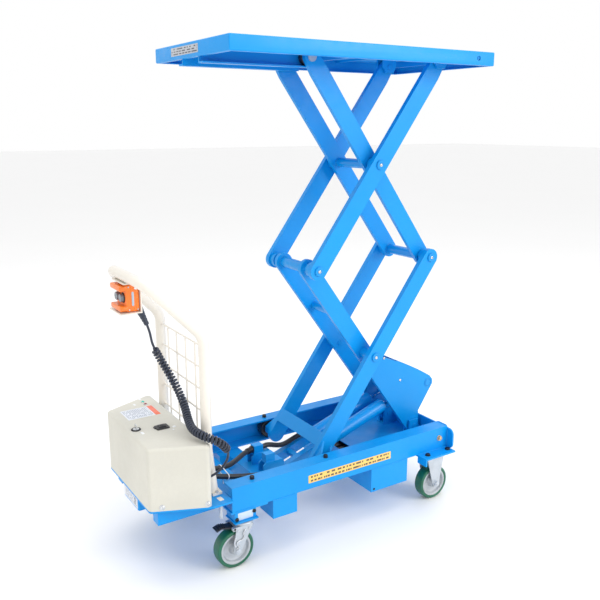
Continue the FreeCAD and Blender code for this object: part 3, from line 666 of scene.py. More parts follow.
class MESH_OT_lift_stage(bpy.types.Operator):
    """Make the camera, the pale floor and the soft lights"""

    bl_idname = "mesh.lift_stage"
    bl_label = "Stage"

    def execute(self, context):
        scene = context.scene
        stage = scene.lift_stage
        data = bpy.data.cameras.new("Camera")
        data.lens = stage.lens
        data.sensor_width = 36.0
        camera = bpy.data.objects.new("Camera", data)
        camera.location = stage.camera_place
        camera.rotation_euler = (stage.camera_tilt, 0.0, stage.camera_yaw)
        scene.collection.objects.link(camera)
        scene.camera = camera
        scene.view_settings.view_transform = "Standard"
        extent = 40.0
        corners = np.array([[[-1, -1, 0], [-1, 1, 0]], [[1, -1, 0], [1, 1, 0]]], float) * extent
        points, faces = surface(corners)
        mesh = bpy.data.meshes.new("floor")
        mesh.from_pydata(points.tolist(), [], faces.tolist())
        floor = bpy.data.objects.new("floor", mesh)
        scene.collection.objects.link(floor)
        n = Recipe("Pale floor")
        tone = tuple(stage.floor_tone)
        n.set(
            Base_Color=n.mix(n.noise(0.8, 2.0), tone, tint(tone, 0.985)), Roughness=0.6,
            Specular_IOR_Level=0.2,
        )
        mesh.materials.append(n.material)
        world = bpy.data.worlds.new("Surround")
        world.use_nodes = True
        background = world.node_tree.nodes["Background"]
        background.inputs["Color"].default_value = (1.0, 1.0, 1.0, 1.0)
        background.inputs["Strength"].default_value = stage.sky
        scene.world = world
        aim = (0.0, 0.0, 0.75)
        area_light("key", (2.6, -4.2, 3.0), aim, (2.6, 2.6), stage.key_power)
        area_light("fill", (-4.0, -1.2, 2.2), aim, (2.0, 2.4), stage.fill_power)
        area_light("top", (0.2, 0.4, 4.4), aim, (3.4, 2.6), stage.top_power)
        return {"FINISHED"}


# ---------------------------------------------------------------- cords
def nurbs(name, points, radius, material, resolution=16):
    """A round cord along an open quadratic NURBS line with these control points."""
    data = bpy.data.curves.new(name, "CURVE")
    data.dimensions = "3D"
    data.bevel_depth = radius
    data.bevel_resolution = 5
    data.resolution_u = resolution
    data.use_fill_caps = True
    spline = data.splines.new("NURBS")
    spline.points.add(len(points) - 1)
    flat = np.concatenate([np.asarray(points, float), np.ones((len(points), 1))], 1)
    spline.points.foreach_set("co", flat.ravel())
    spline.order_u = 3
    spline.use_endpoint_u = True
    spline.use_smooth = True
    made = bpy.data.objects.new(name, data)
    bpy.context.scene.collection.objects.link(made)
    if material:
        data.materials.append(finish(material))
    return made


def line_of(points):
    """The points of the smooth NURBS line that has these control points."""
    guide = nurbs("guide", points, 0.0, None, 24)
    bpy.context.view_layer.update()
    mesh = bpy.data.meshes.new_from_object(guide)
    line = np.zeros(len(mesh.vertices) * 3)
    mesh.vertices.foreach_get("co", line)
    curve = guide.data
    bpy.data.objects.remove(guide)
    bpy.data.meshes.remove(mesh)
    bpy.data.curves.remove(curve)
    return line.reshape(-1, 3)


def measured(line):
    """Distance from the start at each point of a line."""
    return np.concatenate([[0.0], np.cumsum(np.linalg.norm(np.diff(line, axis=0), axis=1))])


def at_distance(line, distance):
    """Points of a line at these distances from its start, and the unit directions there."""
    far = measured(line)
    step = 0.002
    places = np.stack([np.interp(distance, far, line[:, k]) for k in range(3)], -1)
    before = np.stack([np.interp(distance - step, far, line[:, k]) for k in range(3)], -1)
    after = np.stack([np.interp(distance + step, far, line[:, k]) for k in range(3)], -1)
    along = after - before
    return places, along / np.linalg.norm(along, axis=1, keepdims=True)


CORD_TOP = [(-0.536, 0.030, 0.772), (-0.526, 0.030, 0.742), (-0.523, 0.031, 0.712), (-0.514, 0.034, 0.690)]
COIL_ROUTE = [
    (-0.498, 0.036, 0.655), (-0.478, 0.010, 0.606), (-0.462, -0.024, 0.556), (-0.461, -0.070, 0.514),
    (-0.474, -0.122, 0.487), (-0.484, -0.178, 0.477), (-0.470, -0.232, 0.474), (-0.430, -0.258, 0.455),
    (-0.396, -0.240, 0.412),
]
CORD_TAIL = [
    (-0.392, -0.226, 0.380), (-0.404, -0.210, 0.345), (-0.428, -0.198, 0.322), (-0.453, -0.196, 0.318),
]
HOSE_ROUTE = [
    (-0.457, -0.058, 0.292), (-0.422, -0.058, 0.287), (-0.382, -0.055, 0.272), (-0.334, -0.046, 0.256),
    (-0.284, -0.026, 0.248), (-0.238, 0.004, 0.246), (-0.200, 0.030, 0.248), (-0.160, 0.041, 0.249),
]
CABLE_ROUTE = [
    (-0.457, -0.084, 0.278), (-0.422, -0.084, 0.273), (-0.378, -0.083, 0.256), (-0.322, -0.082, 0.238),
    (-0.262, -0.084, 0.224), (-0.200, -0.090, 0.215), (-0.138, -0.097, 0.212), (-0.076, -0.103, 0.209),
    (-0.014, -0.106, 0.211), (0.048, -0.104, 0.212), (0.106, -0.106, 0.210), (0.160, -0.105, 0.211),
    (0.212, -0.105, 0.211),
]


def nearest_distance(line, point):
    """How far along a line the place nearest to a point is."""
    return measured(line)[np.argmin(np.linalg.norm(line - np.asarray(point, float), axis=1))]


class MESH_OT_lift_cords(bpy.types.Operator):
    """Make the curly cord, the hose and the battery cable, with their ferrules and ties"""

    bl_idname = "mesh.lift_cords"
    bl_label = "Cords"

    def execute(self, context):
        sizes = context.scene.lift_cords
        line = line_of(CORD_TOP + COIL_ROUTE + CORD_TAIL)
        start = nearest_distance(line, CORD_TOP[-1])
        stop = nearest_distance(line, COIL_ROUTE[-1]) - 0.004
        total = measured(line)[-1]
        turns = round((stop - start) / sizes.coil_pitch)
        per_turn = 14
        plain = np.linspace(0.0, start, 6)[:-1]
        coiled = np.linspace(start, stop, turns * per_turn + 1)
        tail = np.linspace(stop, total, 9)[1:]
        distance = np.concatenate([plain, coiled, tail])
        places, along = at_distance(line, distance)
        share = np.clip((distance - start) / (stop - start), 0.0, 1.0)
        lead = 0.011
        reach = np.clip(np.minimum(distance - start, stop - distance) / lead, 0.0, 1.0)
        reach = sizes.coil_radius * reach * reach * (3.0 - 2.0 * reach)
        helper = np.array([0.8, 0.0, 0.6])
        side = np.cross(along, helper)
        side /= np.linalg.norm(side, axis=1, keepdims=True)
        out = np.cross(along, side)
        angle = TAU * turns * share + 0.35 * np.sin(9.0 * share)
        route = places + reach[:, None] * (np.cos(angle)[:, None] * side + np.sin(angle)[:, None] * out)
        route[0], route[-1] = CORD_TOP[0], CORD_TAIL[-1]
        cord = nurbs("pendant_cord", route, sizes.cord_radius, "Navy cord rubber", 3)
        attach(cord, "chassis")
        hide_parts("pendant_cord_top", "pendant_coil", "pendant_cord_tail")
        cord_length = measured(line_of(route))[-1]
        print("curly cord length %.3f m, %d turns" % (cord_length, turns))

        boot = self.boot()
        gland = piece(
            "cord_gland",
            [
                turned(rounded_profile(12.0, 0.0, 5.0, 1.0, 5.0), (-0.457, -0.196, 0.318), X_AXIS, 36, 22.0),
                turned(
                    [
                        (4.4, 0.0), (9.0, 0.0), (9.0, 8.0), (8.4, 9.5), (7.0, 12.5), (5.2, 14.0), (4.4, 14.0),
                        (4.4, 0.0),
                    ],
                    (-0.457, -0.196, 0.318), X_AXIS, 32,
                ),
            ],
            "chassis", "Black moulding",
        )
        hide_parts("cord_boot")

        hose = nurbs("supply_hose_line", HOSE_ROUTE, sizes.hose_radius, "Black hose rubber")
        cable = nurbs("battery_cable_line", CABLE_ROUTE, sizes.hose_radius, "Black hose rubber")
        for made, node, route, stiffness in (
            (hose, "supply_hose", HOSE_ROUTE, "stiff"), (cable, "battery_cable", CABLE_ROUTE, "medium"),
        ):
            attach(made, "chassis")
            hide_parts(node)
            length = measured(line_of(route))[-1]
            print("%s length %.3f m" % (node, length))
            self.collars(node, route, 1000.0 * sizes.hose_radius)
        self.ties()
        return {"FINISHED"}

    def boot(self):
        """The tapered strain relief: its radius falls along it and dips at each of its ribs."""
        top, tip = np.array((-0.566, 0.030, 0.842)), np.array((-0.536, 0.030, 0.772))
        length = np.linalg.norm(tip - top) / MM
        s = np.linspace(0.0, 1.0, 56)
        ribbed = np.clip((s - 0.5) / 0.1, 0.0, 1.0) * np.clip((0.97 - s) / 0.03, 0.0, 1.0)
        radius = 15.0 - 7.0 * s**0.8 - 0.9 * ribbed * (0.5 + 0.5 * np.cos(TAU * 7.0 * s))
        profile = np.stack([radius, s * length], -1)
        profile = np.concatenate([[(0.0, 0.0)], profile, [(4.2, length + 1.0), (0.0, length + 1.0)]])
        ridge = smooth_path([top + [0.001, -0.0135, 0.002], top * 0.5 + tip * 0.5 + [0.0, -0.0112, 0.0],
                             tip + [0.0, -0.0072, 0.0]], 14)
        return piece(
            "cord_strain_relief",
            [
                turned(profile, top, tip - top, 36),
                carried(ridge, circle(1.5, 8), (0.0, -1.0, 0.0)),
                turned([(0.0, 0.0), (17.0, 0.0), (17.0, 3.0), (15.5, 5.0), (0.0, 5.0)],
                       top + [-0.0005, 0.0, 0.0015],
                       tip - top, 36),
            ],
            "chassis", "Navy cord rubber",
        )

    def collars(self, name, route, radius):
        """A pressed ferrule and a hexagon nut at each end of a hose."""
        surfaces = []
        line = line_of(route)
        total = measured(line)[-1]
        for distance, way in ((0.0, 1.0), (total, -1.0)):
            places, along = at_distance(line, np.array([distance + way * 0.003]))
            axis = along[0] * way
            origin = places[0] - axis * 0.003
            s = np.linspace(0.0, 1.0, 26)
            crimps = radius + 1.9 - 0.6 * (0.5 + 0.5 * np.cos(TAU * 5.0 * s)) * (s > 0.05) * (s < 0.95)
            profile = np.concatenate(
                [
                    [(radius - 0.6, 6.0)], np.stack([crimps, 6.0 + 22.0 * s], -1),
                    [(radius - 0.6, 28.0), (radius - 0.6, 6.0)],
                ]
            )
            surfaces.append(turned(profile, origin, axis, 32))
            nut = rounded_profile(radius + 3.6, 0.5, 7.0, 0.8, radius - 0.6)
            surfaces.append(turned(nut, origin, axis, 48, 2.0 * (radius + 2.7)))
        return [piece(name + "_collars", surfaces, "chassis", "Black oxide steel")]

    def ties(self):
        """White cable ties: an oval band round both lines, with its square lock and a cut tail."""
        hose, cable = line_of(HOSE_ROUTE), line_of(CABLE_ROUTE)
        surfaces = []
        for share in (0.1, 0.42):
            first, along = at_distance(hose, np.array([share * measured(hose)[-1]]))
            second, _ = at_distance(cable, np.array([nearest_distance(cable, first[0])]))
            centre = (first[0] + second[0]) / 2.0
            apart = second[0] - first[0]
            gap = np.linalg.norm(apart)
            apart = apart - along[0] * np.dot(apart, along[0])
            apart /= np.linalg.norm(apart)
            lift = np.cross(along[0], apart)
            t = np.arange(48) * TAU / 48
            reach = 0.0102
            ring = (
                centre
                + (np.sign(np.cos(t)) * gap / 2.0 * (np.abs(np.cos(t)) > 1e-6))[:, None] * apart
                + reach * (np.cos(t)[:, None] * apart + np.sin(t)[:, None] * lift)
            )
            surfaces.append(carried(ring, band(1.3, 4.2), along[0], closed=True))
            lock = centre + lift * reach + apart * gap * 0.3
            surfaces.append(slab((6.5, 5.6), 4.5, 1.2, 0.6, lock, apart, np.cross(lift, apart)))
            tail = smooth_path([lock + lift * 0.003, lock + lift * 0.008, lock + lift * 0.016 + apart * 0.004,
                                lock + lift * 0.021 + apart * 0.010], 12)
            surfaces.append(carried(tail, band(1.0, 3.6), along[0]))
        piece("cable_ties", surfaces, "chassis", "White tie plastic")


# ---------------------------------------------------------------- frame paint
PAINTED = {
    "Blue enamel": ("blue_paint", [
        "battery_cover", "battery_tray", "caster_mounts", "crank_cover", "cylinder_beam", "cylinder_clevises",
        "deck", "end_plate", "floor_plates", "lower_inner_arms", "lower_outer_arms", "lower_outer_tie",
        "pivot_brackets", "platform_underframe", "roller_feet", "roller_tracks", "side_rails",
        "upper_inner_arms", "upper_outer_arms",
    ]),
    "Blue enamel on rolled tube": ("blue_paint", [
        "cylinder_barrels", "left_mid_tube", "lower_inner_pins", "right_mid_tube", "upper_centre_tube",
    ]),
    "Cream powder coat": ("cream_paint", ["power_cover"]),
    "Cream enamel on tube": ("cream_paint", ["handle_tube", "wire_guard", "pendant_holder"]),
    "Zinc plate": ("zinc", ["rigid_forks", "swivel_fork_near", "swivel_fork_far", "top_roller_axles"]),
    "Black oxide steel": ("zinc", ["brake_pedal_near", "brake_pedal_far"]),
    "Hard chrome": ("chrome", ["cylinder_rods"]),
    "Black moulding": ("black_plastic", ["batteries", "power_pack"]),
    "Bright screw steel": ("chrome", ["key_switch"]),
}


class MESH_OT_lift_paint(bpy.types.Operator):
    """Give the frame's own pieces their finishes"""

    bl_idname = "mesh.lift_paint"
    bl_label = "Frame finishes"

    def execute(self, context):
        for material, (slot, nodes) in PAINTED.items():
            for node in nodes:
                own = frame["nodes"][node]
                own.data.materials.clear()
                own.data.materials.append(finish(material))
        return {"FINISHED"}


# ---------------------------------------------------------------- platform
class MESH_OT_lift_platform(bpy.types.Operator):
    """Make the pressed platform pan with its rolled edges and its rating sticker"""

    bl_idname = "mesh.lift_platform"
    bl_label = "Platform"

    def execute(self, context):
        low, high = [np.array(corner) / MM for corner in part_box("platform_pan")]
        size = high - low
        centre = (low + high) / 2.0
        height = size[2]
        bend, sheet, skin, lip = 4.0, 3.0, 5.0, 14.0
        t = np.linspace(0.0, math.pi / 2.0, 6)
        foot = np.stack([bend - bend * np.sin(t), bend - bend * np.cos(t)], -1)
        top = np.stack([bend - bend * np.cos(t), height - bend + bend * np.sin(t)], -1)
        inside = [(sheet, height - skin), (sheet, sheet), (lip, sheet), (lip, 0.0)]
        profile = np.concatenate([inside, foot, top])
        steps = 4
        angle = (
            np.arange(4)[:, None] * math.pi / 2.0 + np.linspace(0.0, math.pi / 2.0, steps + 1)[None]
        ).ravel()
        sign = np.repeat([[1, 1], [-1, 1], [-1, -1], [1, -1]], steps + 1, 0)
        inset = profile[:, 0]
        corner = np.maximum(3.0 - inset, 0.0)
        flat = size[None, None, :2] / 2.0 - inset[None, :, None] - corner[None, :, None]
        ring = sign[:, None] * flat + corner[None, :, None] * np.stack(
            [np.cos(angle), np.sin(angle)], -1,
        )[:, None]
        pole = np.zeros((len(ring), 1, 2))
        ring = np.concatenate([pole, ring, pole], 1)
        level = np.concatenate([[height - skin], profile[:, 1], [height]]) + low[2]
        points = np.concatenate(
            [ring + centre[:2], np.broadcast_to(level[None, :, None], (*ring.shape[:2], 1))], -1,
        )
        pan = piece(
            "platform_shell", [surface(points * MM, close_rows=True)], "platform", "Blue enamel",
        )
        hole = turned(
            [(0.0, -300.0), (8.0, -300.0), (8.0, 300.0), (0.0, 300.0)], (0.561, 0.0, 1.598), Y_AXIS, 32,
        )
        self.cut(pan, hole)
        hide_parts("platform_pan")

        plate_low, plate_high = corners_of("rating_plate")
        plate_size = (plate_high - plate_low) / MM
        sticker = piece(
            "rating_sticker",
            [plate((plate_size[1], plate_size[2]), 0.6, 2.5, 0.25,
                  (plate_high[0], (plate_low[1] + plate_high[1]) / 2.0, (plate_low[2] + plate_high[2]) / 2.0),
                  -Y_AXIS, Z_AXIS)],
            "platform", "Rating sticker",
        )
        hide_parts("rating_plate")
        ends = []
        for side in (-1.0, 1.0):
            ends.append(
                weld((-0.36, side * 0.0575, 1.6145), (0.04, side * 0.0575, 1.6145), 2.2, -Z_AXIS, 7.0)
            )
            for x, low_z in ((0.150, 1.593), (0.560, 1.593)):
                bead_x, bead_y = x + 0.0055, side * 0.2565
                ends.append(weld((bead_x, bead_y, low_z + 0.002), (bead_x, bead_y, 1.612), 1.8, X_AXIS))
            for y in (0.117, 0.125, 0.150, 0.158):
                ends.append(weld((0.460, side * y, 1.6148), (0.516, side * y, 1.6148), 2.2, -Z_AXIS))
        piece("platform_welds", ends, "platform", "Blue enamel")
        return {"FINISHED"}

    def cut(self, made, cutter_surface):
        """Takes a cutter's volume out of a mesh."""
        cutter = bpy.data.objects.new("cutter", closed_mesh("cutter", *cutter_surface))
        bpy.context.scene.collection.objects.link(cutter)
        modifier = made.modifiers.new("hole", "BOOLEAN")
        modifier.operation = "DIFFERENCE"
        modifier.solver = "EXACT"
        modifier.object = cutter
        bpy.context.view_layer.update()
        evaluated = made.evaluated_get(bpy.context.evaluated_depsgraph_get())
        result = bpy.data.meshes.new_from_object(evaluated)
        made.modifiers.clear()
        result.name = made.name
        made.data = result
        result.shade_smooth()
        result.set_sharp_from_angle(angle=math.radians(SHARP_ANGLE))
        bpy.data.objects.remove(cutter)


# ---------------------------------------------------------------- scissor details
CRANK_SHAFT = (0.558, 0.0, 0.400)
CRANK_FACE = 0.084
ARM_FACE = 0.1472


def pin_cap(place, side, radius=15.0):
    """A pin's chamfered head with a shallow recess in its middle where a screw sits, at |Y| 152 mm on one
    side.
    """
    x, z = place
    out = Y_AXIS * side
    base = (x, side * ARM_FACE, z)
    head = [(radius - 0.5, 0.0), (radius + 0.8, 0.4), (radius + 0.8, 3.6), (radius - 0.8, 5.2), (8.6, 5.4),
            (8.0, 4.6),
            (0.0, 4.6)]
    head = [(0.0, 0.0)] + head
    return turned(head, base, out, 40)


def cap_screw(place, out, radius=4.5, height=3.2):
    """A low button screw: a domed head with a round socket sunk in it."""
    t = np.linspace(0.0, math.pi / 2.0, 6)
    dome = np.stack([radius * np.cos(t) * 0.45 + radius * 0.55, height * np.sin(t)], -1)
    hollow = [(radius * 0.5, height), (radius * 0.46, height * 0.45), (0.0, height * 0.4)]
    return turned(np.concatenate([[(0.0, 0.0)], [(radius, 0.0)], dome, hollow]), place, out, 28)


class MESH_OT_lift_scissor(bpy.types.Operator):
    """Make the pins' heads, screws, weld beads and rollers of the scissor"""

    bl_idname = "mesh.lift_scissor"
    bl_label = "Scissor details"

    def execute(self, context):
        base, centre = joint_at("lift"), joint_at("lower_centre_pivot")
        right_mid, upper = joint_at("right_mid_pivot"), joint_at("upper_centre_pivot")
        top = joint_at("top_pivot")
        left_mid = np.array([2.0 * centre[0] - base[0], 0.0, right_mid[2]])
        foot = np.array([left_mid[0], 0.0, base[2]])
        top_roller = np.array([left_mid[0], 0.0, top[2]])

        caps = {"lower_inner": [left_mid, centre], "upper_inner": [right_mid, upper]}
        for body, places in caps.items():
            heads, screws = [], []
            for place in places:
                for side in (-1.0, 1.0):
                    heads.append(pin_cap((place[0], place[2]), side))
                    screws.append(cap_screw((place[0], side * 0.1518, place[2]), Y_AXIS * side, 6.0, 3.0))
            piece(body + "_pin_heads", heads, body, "Blue enamel on rolled tube")
            piece(body + "_pin_screws", screws, body, "Bright screw steel")

        plate_screws, shaft_rings = [], []
        for side in (-1.0, 1.0):
            out = Y_AXIS * side
            plate_screws.append(cap_screw((0.3335, side * CRANK_FACE, 0.538), out, 5.5, 3.0))
            plate_screws.append(cap_screw((0.415, side * CRANK_FACE, 0.437), out, 5.5, 3.0))
            ring = [(17.5, 0.0), (17.5, 0.8), (16.6, 1.4), (15.4, 1.4), (14.6, 0.8), (14.6, 0.0), (17.5, 0.0)]
            shaft_rings.append(turned(ring, (CRANK_SHAFT[0], side * CRANK_FACE, CRANK_SHAFT[2]), out, 48))
            shaft_rings.append(turned([(0.0, 0.0), (13.6, 0.0), (13.6, 0.9), (12.6, 1.6), (0.0, 1.6)],
                                      (CRANK_SHAFT[0], side * CRANK_FACE, CRANK_SHAFT[2]), out, 40))
        piece("crank_screws", plate_screws, "lower_inner", "Bright screw steel")
        piece("crank_shaft_rings", shaft_rings, "lower_inner", "Blue enamel on rolled tube")

        self.welds(left_mid, right_mid, upper, centre, foot)
        self.rollers(foot, top_roller)
        return {"FINISHED"}

    def welds(self, left_mid, right_mid, upper, centre, foot):
        """Ring beads where tubes meet arms, and straight beads at the feet."""
        t = np.arange(64) * TAU / 64

        def ring(place, y, radius, bead):
            wave = 1.0 + 0.05 * np.cos(16 * t)
            path = np.stack([place[0] + radius * MM * wave * np.cos(t), np.full(64, y),
                             place[2] + radius * MM * wave * np.sin(t)], -1)
            return carried(path, circle(bead, 8), Y_AXIS, closed=True)

        lower, higher = [], []
        for side in (-1.0, 1.0):
            lower += [ring(left_mid, side * 0.0685, 18.6, 2.0), ring(left_mid, side * 0.0845, 18.6, 2.0)]
            higher += [ring(right_mid, side * 0.0855, 18.6, 2.0), ring(right_mid, side * 0.1015, 18.6, 2.0)]
            higher += [ring(upper, side * 0.0855, 16.6, 1.9), ring(upper, side * 0.1015, 16.6, 1.9)]
            lower.append(ring(CRANK_SHAFT, side * 0.0685, 14.6, 1.8))
        piece("lower_tube_welds", lower, "lower_inner", "Blue enamel on rolled tube")
        piece("upper_tube_welds", higher, "upper_inner", "Blue enamel on rolled tube")
        direction = right_mid - foot
        direction = direction / np.linalg.norm(direction)
        normal = np.array([-direction[2], 0.0, direction[0]])
        feet = []
        for side in (-1.0, 1.0):
            for offset, lift in ((-0.025, -1.0), (-0.017, 1.0), (0.017, -1.0), (0.025, 1.0)):
                start = foot + normal * offset + direction * 0.004
                end = foot + normal * offset + direction * 0.066
                start[1] = end[1] = side * 0.1475
                feet.append(weld(start, end, 1.8, normal * lift + Y_AXIS * side))
            feet.append(ring(foot, side * 0.1478, 19.5, 1.9))
            for distance in (0.046, 0.094):
                at = foot + direction * distance + normal * 0.0275
                first, second = at + normal * 0.003, at - normal * 0.003
                first[1] = second[1] = side * 0.1278
                feet.append(weld(first, second, 1.6, -Y_AXIS * side))
        piece("roller_foot_welds", feet, "lower_outer", "Blue enamel")

    def rollers(self, foot, top_roller):
        """Nylon rollers with rounded treads, relieved sides and steel bushes."""
        for node, body, place, radius, inner_y, outer_y in (
            ("base_rollers", "base_roller_pair", foot, 33.4, 190.0, 224.0),
            ("top_rollers", "top_roller_pair", top_roller, 26.4, 62.0, 82.0),
        ):
            rings, bushes = [], []
            for side in (-1.0, 1.0):
                origin = (place[0], side * inner_y * MM, place[2])
                width = outer_y - inner_y
                t = np.linspace(0.0, math.pi / 2.0, 5)
                low_edge = np.stack([radius - 3.0 + 3.0 * np.sin(t), 3.0 - 3.0 * np.cos(t)], -1)
                high_edge = np.stack([radius - 3.0 + 3.0 * np.cos(t), width - 3.0 + 3.0 * np.sin(t)], -1)
                profile = np.concatenate([
                    [(15.0, 0.0), (16.5, 2.5), (radius - 8.0, 2.5), (radius - 6.5, 0.0)], low_edge, high_edge,
                    [
                        (radius - 6.5, width), (radius - 8.0, width - 2.5), (16.5, width - 2.5),
                        (15.0, width), (15.0, 0.0),
                    ],
                ])
                rings.append(turned(profile, origin, Y_AXIS * side, 64))
                bush = rounded_profile(15.0, -0.4, width + 0.4, 0.6, 10.3)
                bushes.append(turned(bush, origin, Y_AXIS * side, 40))
            made = piece(node + "_tread", rings, body, "Roller nylon")
            piece(node + "_bush", bushes, body, "Bright screw steel")
            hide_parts(node)


# ---------------------------------------------------------------- cylinders
class MESH_OT_lift_cylinders(bpy.types.Operator):
    """Make the cylinders' glands, ports, line and rod eyes"""

    bl_idname = "mesh.lift_cylinders"
    bl_label = "Cylinder details"

    def execute(self, context):
        pin = joint_at("barrel_pivot")
        shaft = joint_at("rod_pivot")
        along = shaft - pin
        along = along / np.linalg.norm(along)
        lift = np.array([-along[2], 0.0, along[0]])

        def at(distance, y, up=0.0):
            return pin + along * distance * MM + Y_AXIS * y * MM + lift * up * MM

        collars, glands, wipers = [], [], []
        for side in (-1.0, 1.0):
            y = 41.0 * side
            collars.append(turned(
                [(24.6, 0.0), (25.8, 0.5), (25.8, 5.0), (24.6, 6.0), (24.6, 0.0)], at(256.0, y), along, 48))
            glands.append(turned(
                [(11.2, 505.0), (20.6, 505.0), (20.6, 519.6), (22.6, 520.2), (23.6, 521.0), (23.6, 525.0),
                 (22.4, 526.4), (13.6, 526.4), (12.4, 525.0), (11.2, 525.0), (11.2, 505.0)], at(0.0, y),
                 along, 56))
            wipers.append(turned(
                [(10.6, 524.0), (12.6, 524.0), (12.6, 527.6), (11.4, 529.0), (10.6, 529.0), (10.6, 524.0)],
                at(0.0, y), along, 40))
        piece("barrel_collars", collars, "barrels", "Blue enamel on rolled tube")
        piece("barrel_glands", glands, "barrels", "Blue enamel on rolled tube")
        piece("rod_wipers", wipers, "barrels", "Black moulding")

        port = 233.0
        fittings = []
        for side in (-1.0, 1.0):
            y = 41.0 * side
            fittings.append(turned(rounded_profile(12.5, 17.5, 26.0, 1.0), at(port, y), lift, 48, 22.0))
            fittings.append(turned(rounded_profile(9.5, 25.5, 40.0, 1.0), at(port, y), lift, 36))
            fittings.append(turned(rounded_profile(8.0, 39.5, 44.0, 1.2), at(port, y), lift, 36, 14.0))
            fittings.append(
                turned(rounded_profile(8.2, 9.0, 18.0, 0.8), at(port, y, 32.0), -Y_AXIS * side, 36, 14.5)
            )
        fittings.append(
            turned(rounded_profile(11.0, -26.0, -14.0, 0.8), at(port, 41.0, 32.0), along, 40, 19.0)
        )
        ports = piece("cylinder_ports", fittings, "barrels", "Brass fitting")
        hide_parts("cylinder_fittings")
        crossing = np.linspace(at(port, -33.0, 32.0), at(port, 33.0, 32.0), 12)
        piece(
            "crossover_tube", [carried(crossing, circle(6.0, 20), lift)], "barrels", "Black oxide steel",
        )
        line = smooth_path(
            [(-0.140, 0.041, 0.249), (-0.116, 0.041, 0.249), (-0.094, 0.041, 0.2495),
             at(port - 120.0, 41.0, 36.0),
             at(port - 60.0, 41.0, 32.0), at(port - 16.0, 41.0, 32.0)], 60)
        piece(
            "supply_line", [carried(line, circle(9.0, 24), Y_AXIS)], "barrels", "Black hose rubber",
        )
        tie = at(118.0, 0.0, -10.0)
        bar_across = Y_AXIS if np.dot(np.cross(along, Y_AXIS), lift) > 0.0 else -Y_AXIS
        beads = [slab((18.0, 57.6), 20.0, 2.0, 1.6, tie + along * 9.0 * MM, along, bar_across)]
        for side in (-1.0, 1.0):
            for up in (-10.0, 10.0):
                beads.append(weld(at(119.0, side * 29.0, up), at(135.0, side * 29.0, up), 2.0, lift * up))
            beads.append(
                weld(at(258.0, side * 41.0 - 12.0, 18.0), at(258.0, side * 41.0 + 12.0, 18.0), 2.4, lift)
            )
        piece("cylinder_tie", beads, "barrels", "Blue enamel")

        eyes = []
        for side in (-1.0, 1.0):
            for way in (-1.0, 1.0):
                ring = [
                    (14.4, 0.0), (18.4, 0.0), (18.4, 1.2), (17.4, 2.0), (15.2, 2.0), (14.4, 1.2), (14.4, 0.0),
                ]
                eyes.append(
                    turned(ring, (shaft[0], (side * 41.0 + way * 11.0) * MM, shaft[2]), Y_AXIS * way, 40)
                )
        piece("rod_eye_rings", eyes, "rods", "Hard chrome")
        return {"FINISHED"}


# ---------------------------------------------------------------- chassis details
RAIL_FACE = 0.236  # |Y| of the rails' outer faces
WELD_FACE = 0.2363  # and of the middle of the beads on them


def hex_bolt(place, out, across=14.0, height=6.0, washer=9.0, stub=0.0):
    """A washer, a hexagon head chamfered at its corners, and a thread stub if asked for."""
    corner = across / math.cos(math.pi / 6.0) / 2.0
    head = [(0.0, 1.4), (corner - 0.6, 1.4), (corner, 2.0), (corner, height - 0.9), (corner - 1.1, height),
            (corner * 0.55, height),
            (corner * 0.5, height - 0.35), (0.0, height - 0.35)]
    parts = [
        turned([(0.0, 0.0), (washer, 0.0), (washer, 1.1), (washer - 0.4, 1.5), (0.0, 1.5)], place, out, 40),
        turned(head, place, out, 48, across),
    ]
    if stub:
        s = np.linspace(0.0, 1.0, int(stub) * 4 + 1)
        radius = across * 0.24 + 0.35 * np.cos(TAU * stub * s / 1.5)
        thread = np.stack([radius, height - 0.5 + stub * s], -1)
        thread = np.concatenate([[(0.0, height - 0.5)], thread, [(0.0, height - 0.5 + stub)]])
        parts.append(turned(thread, place, out, 24))
    return parts


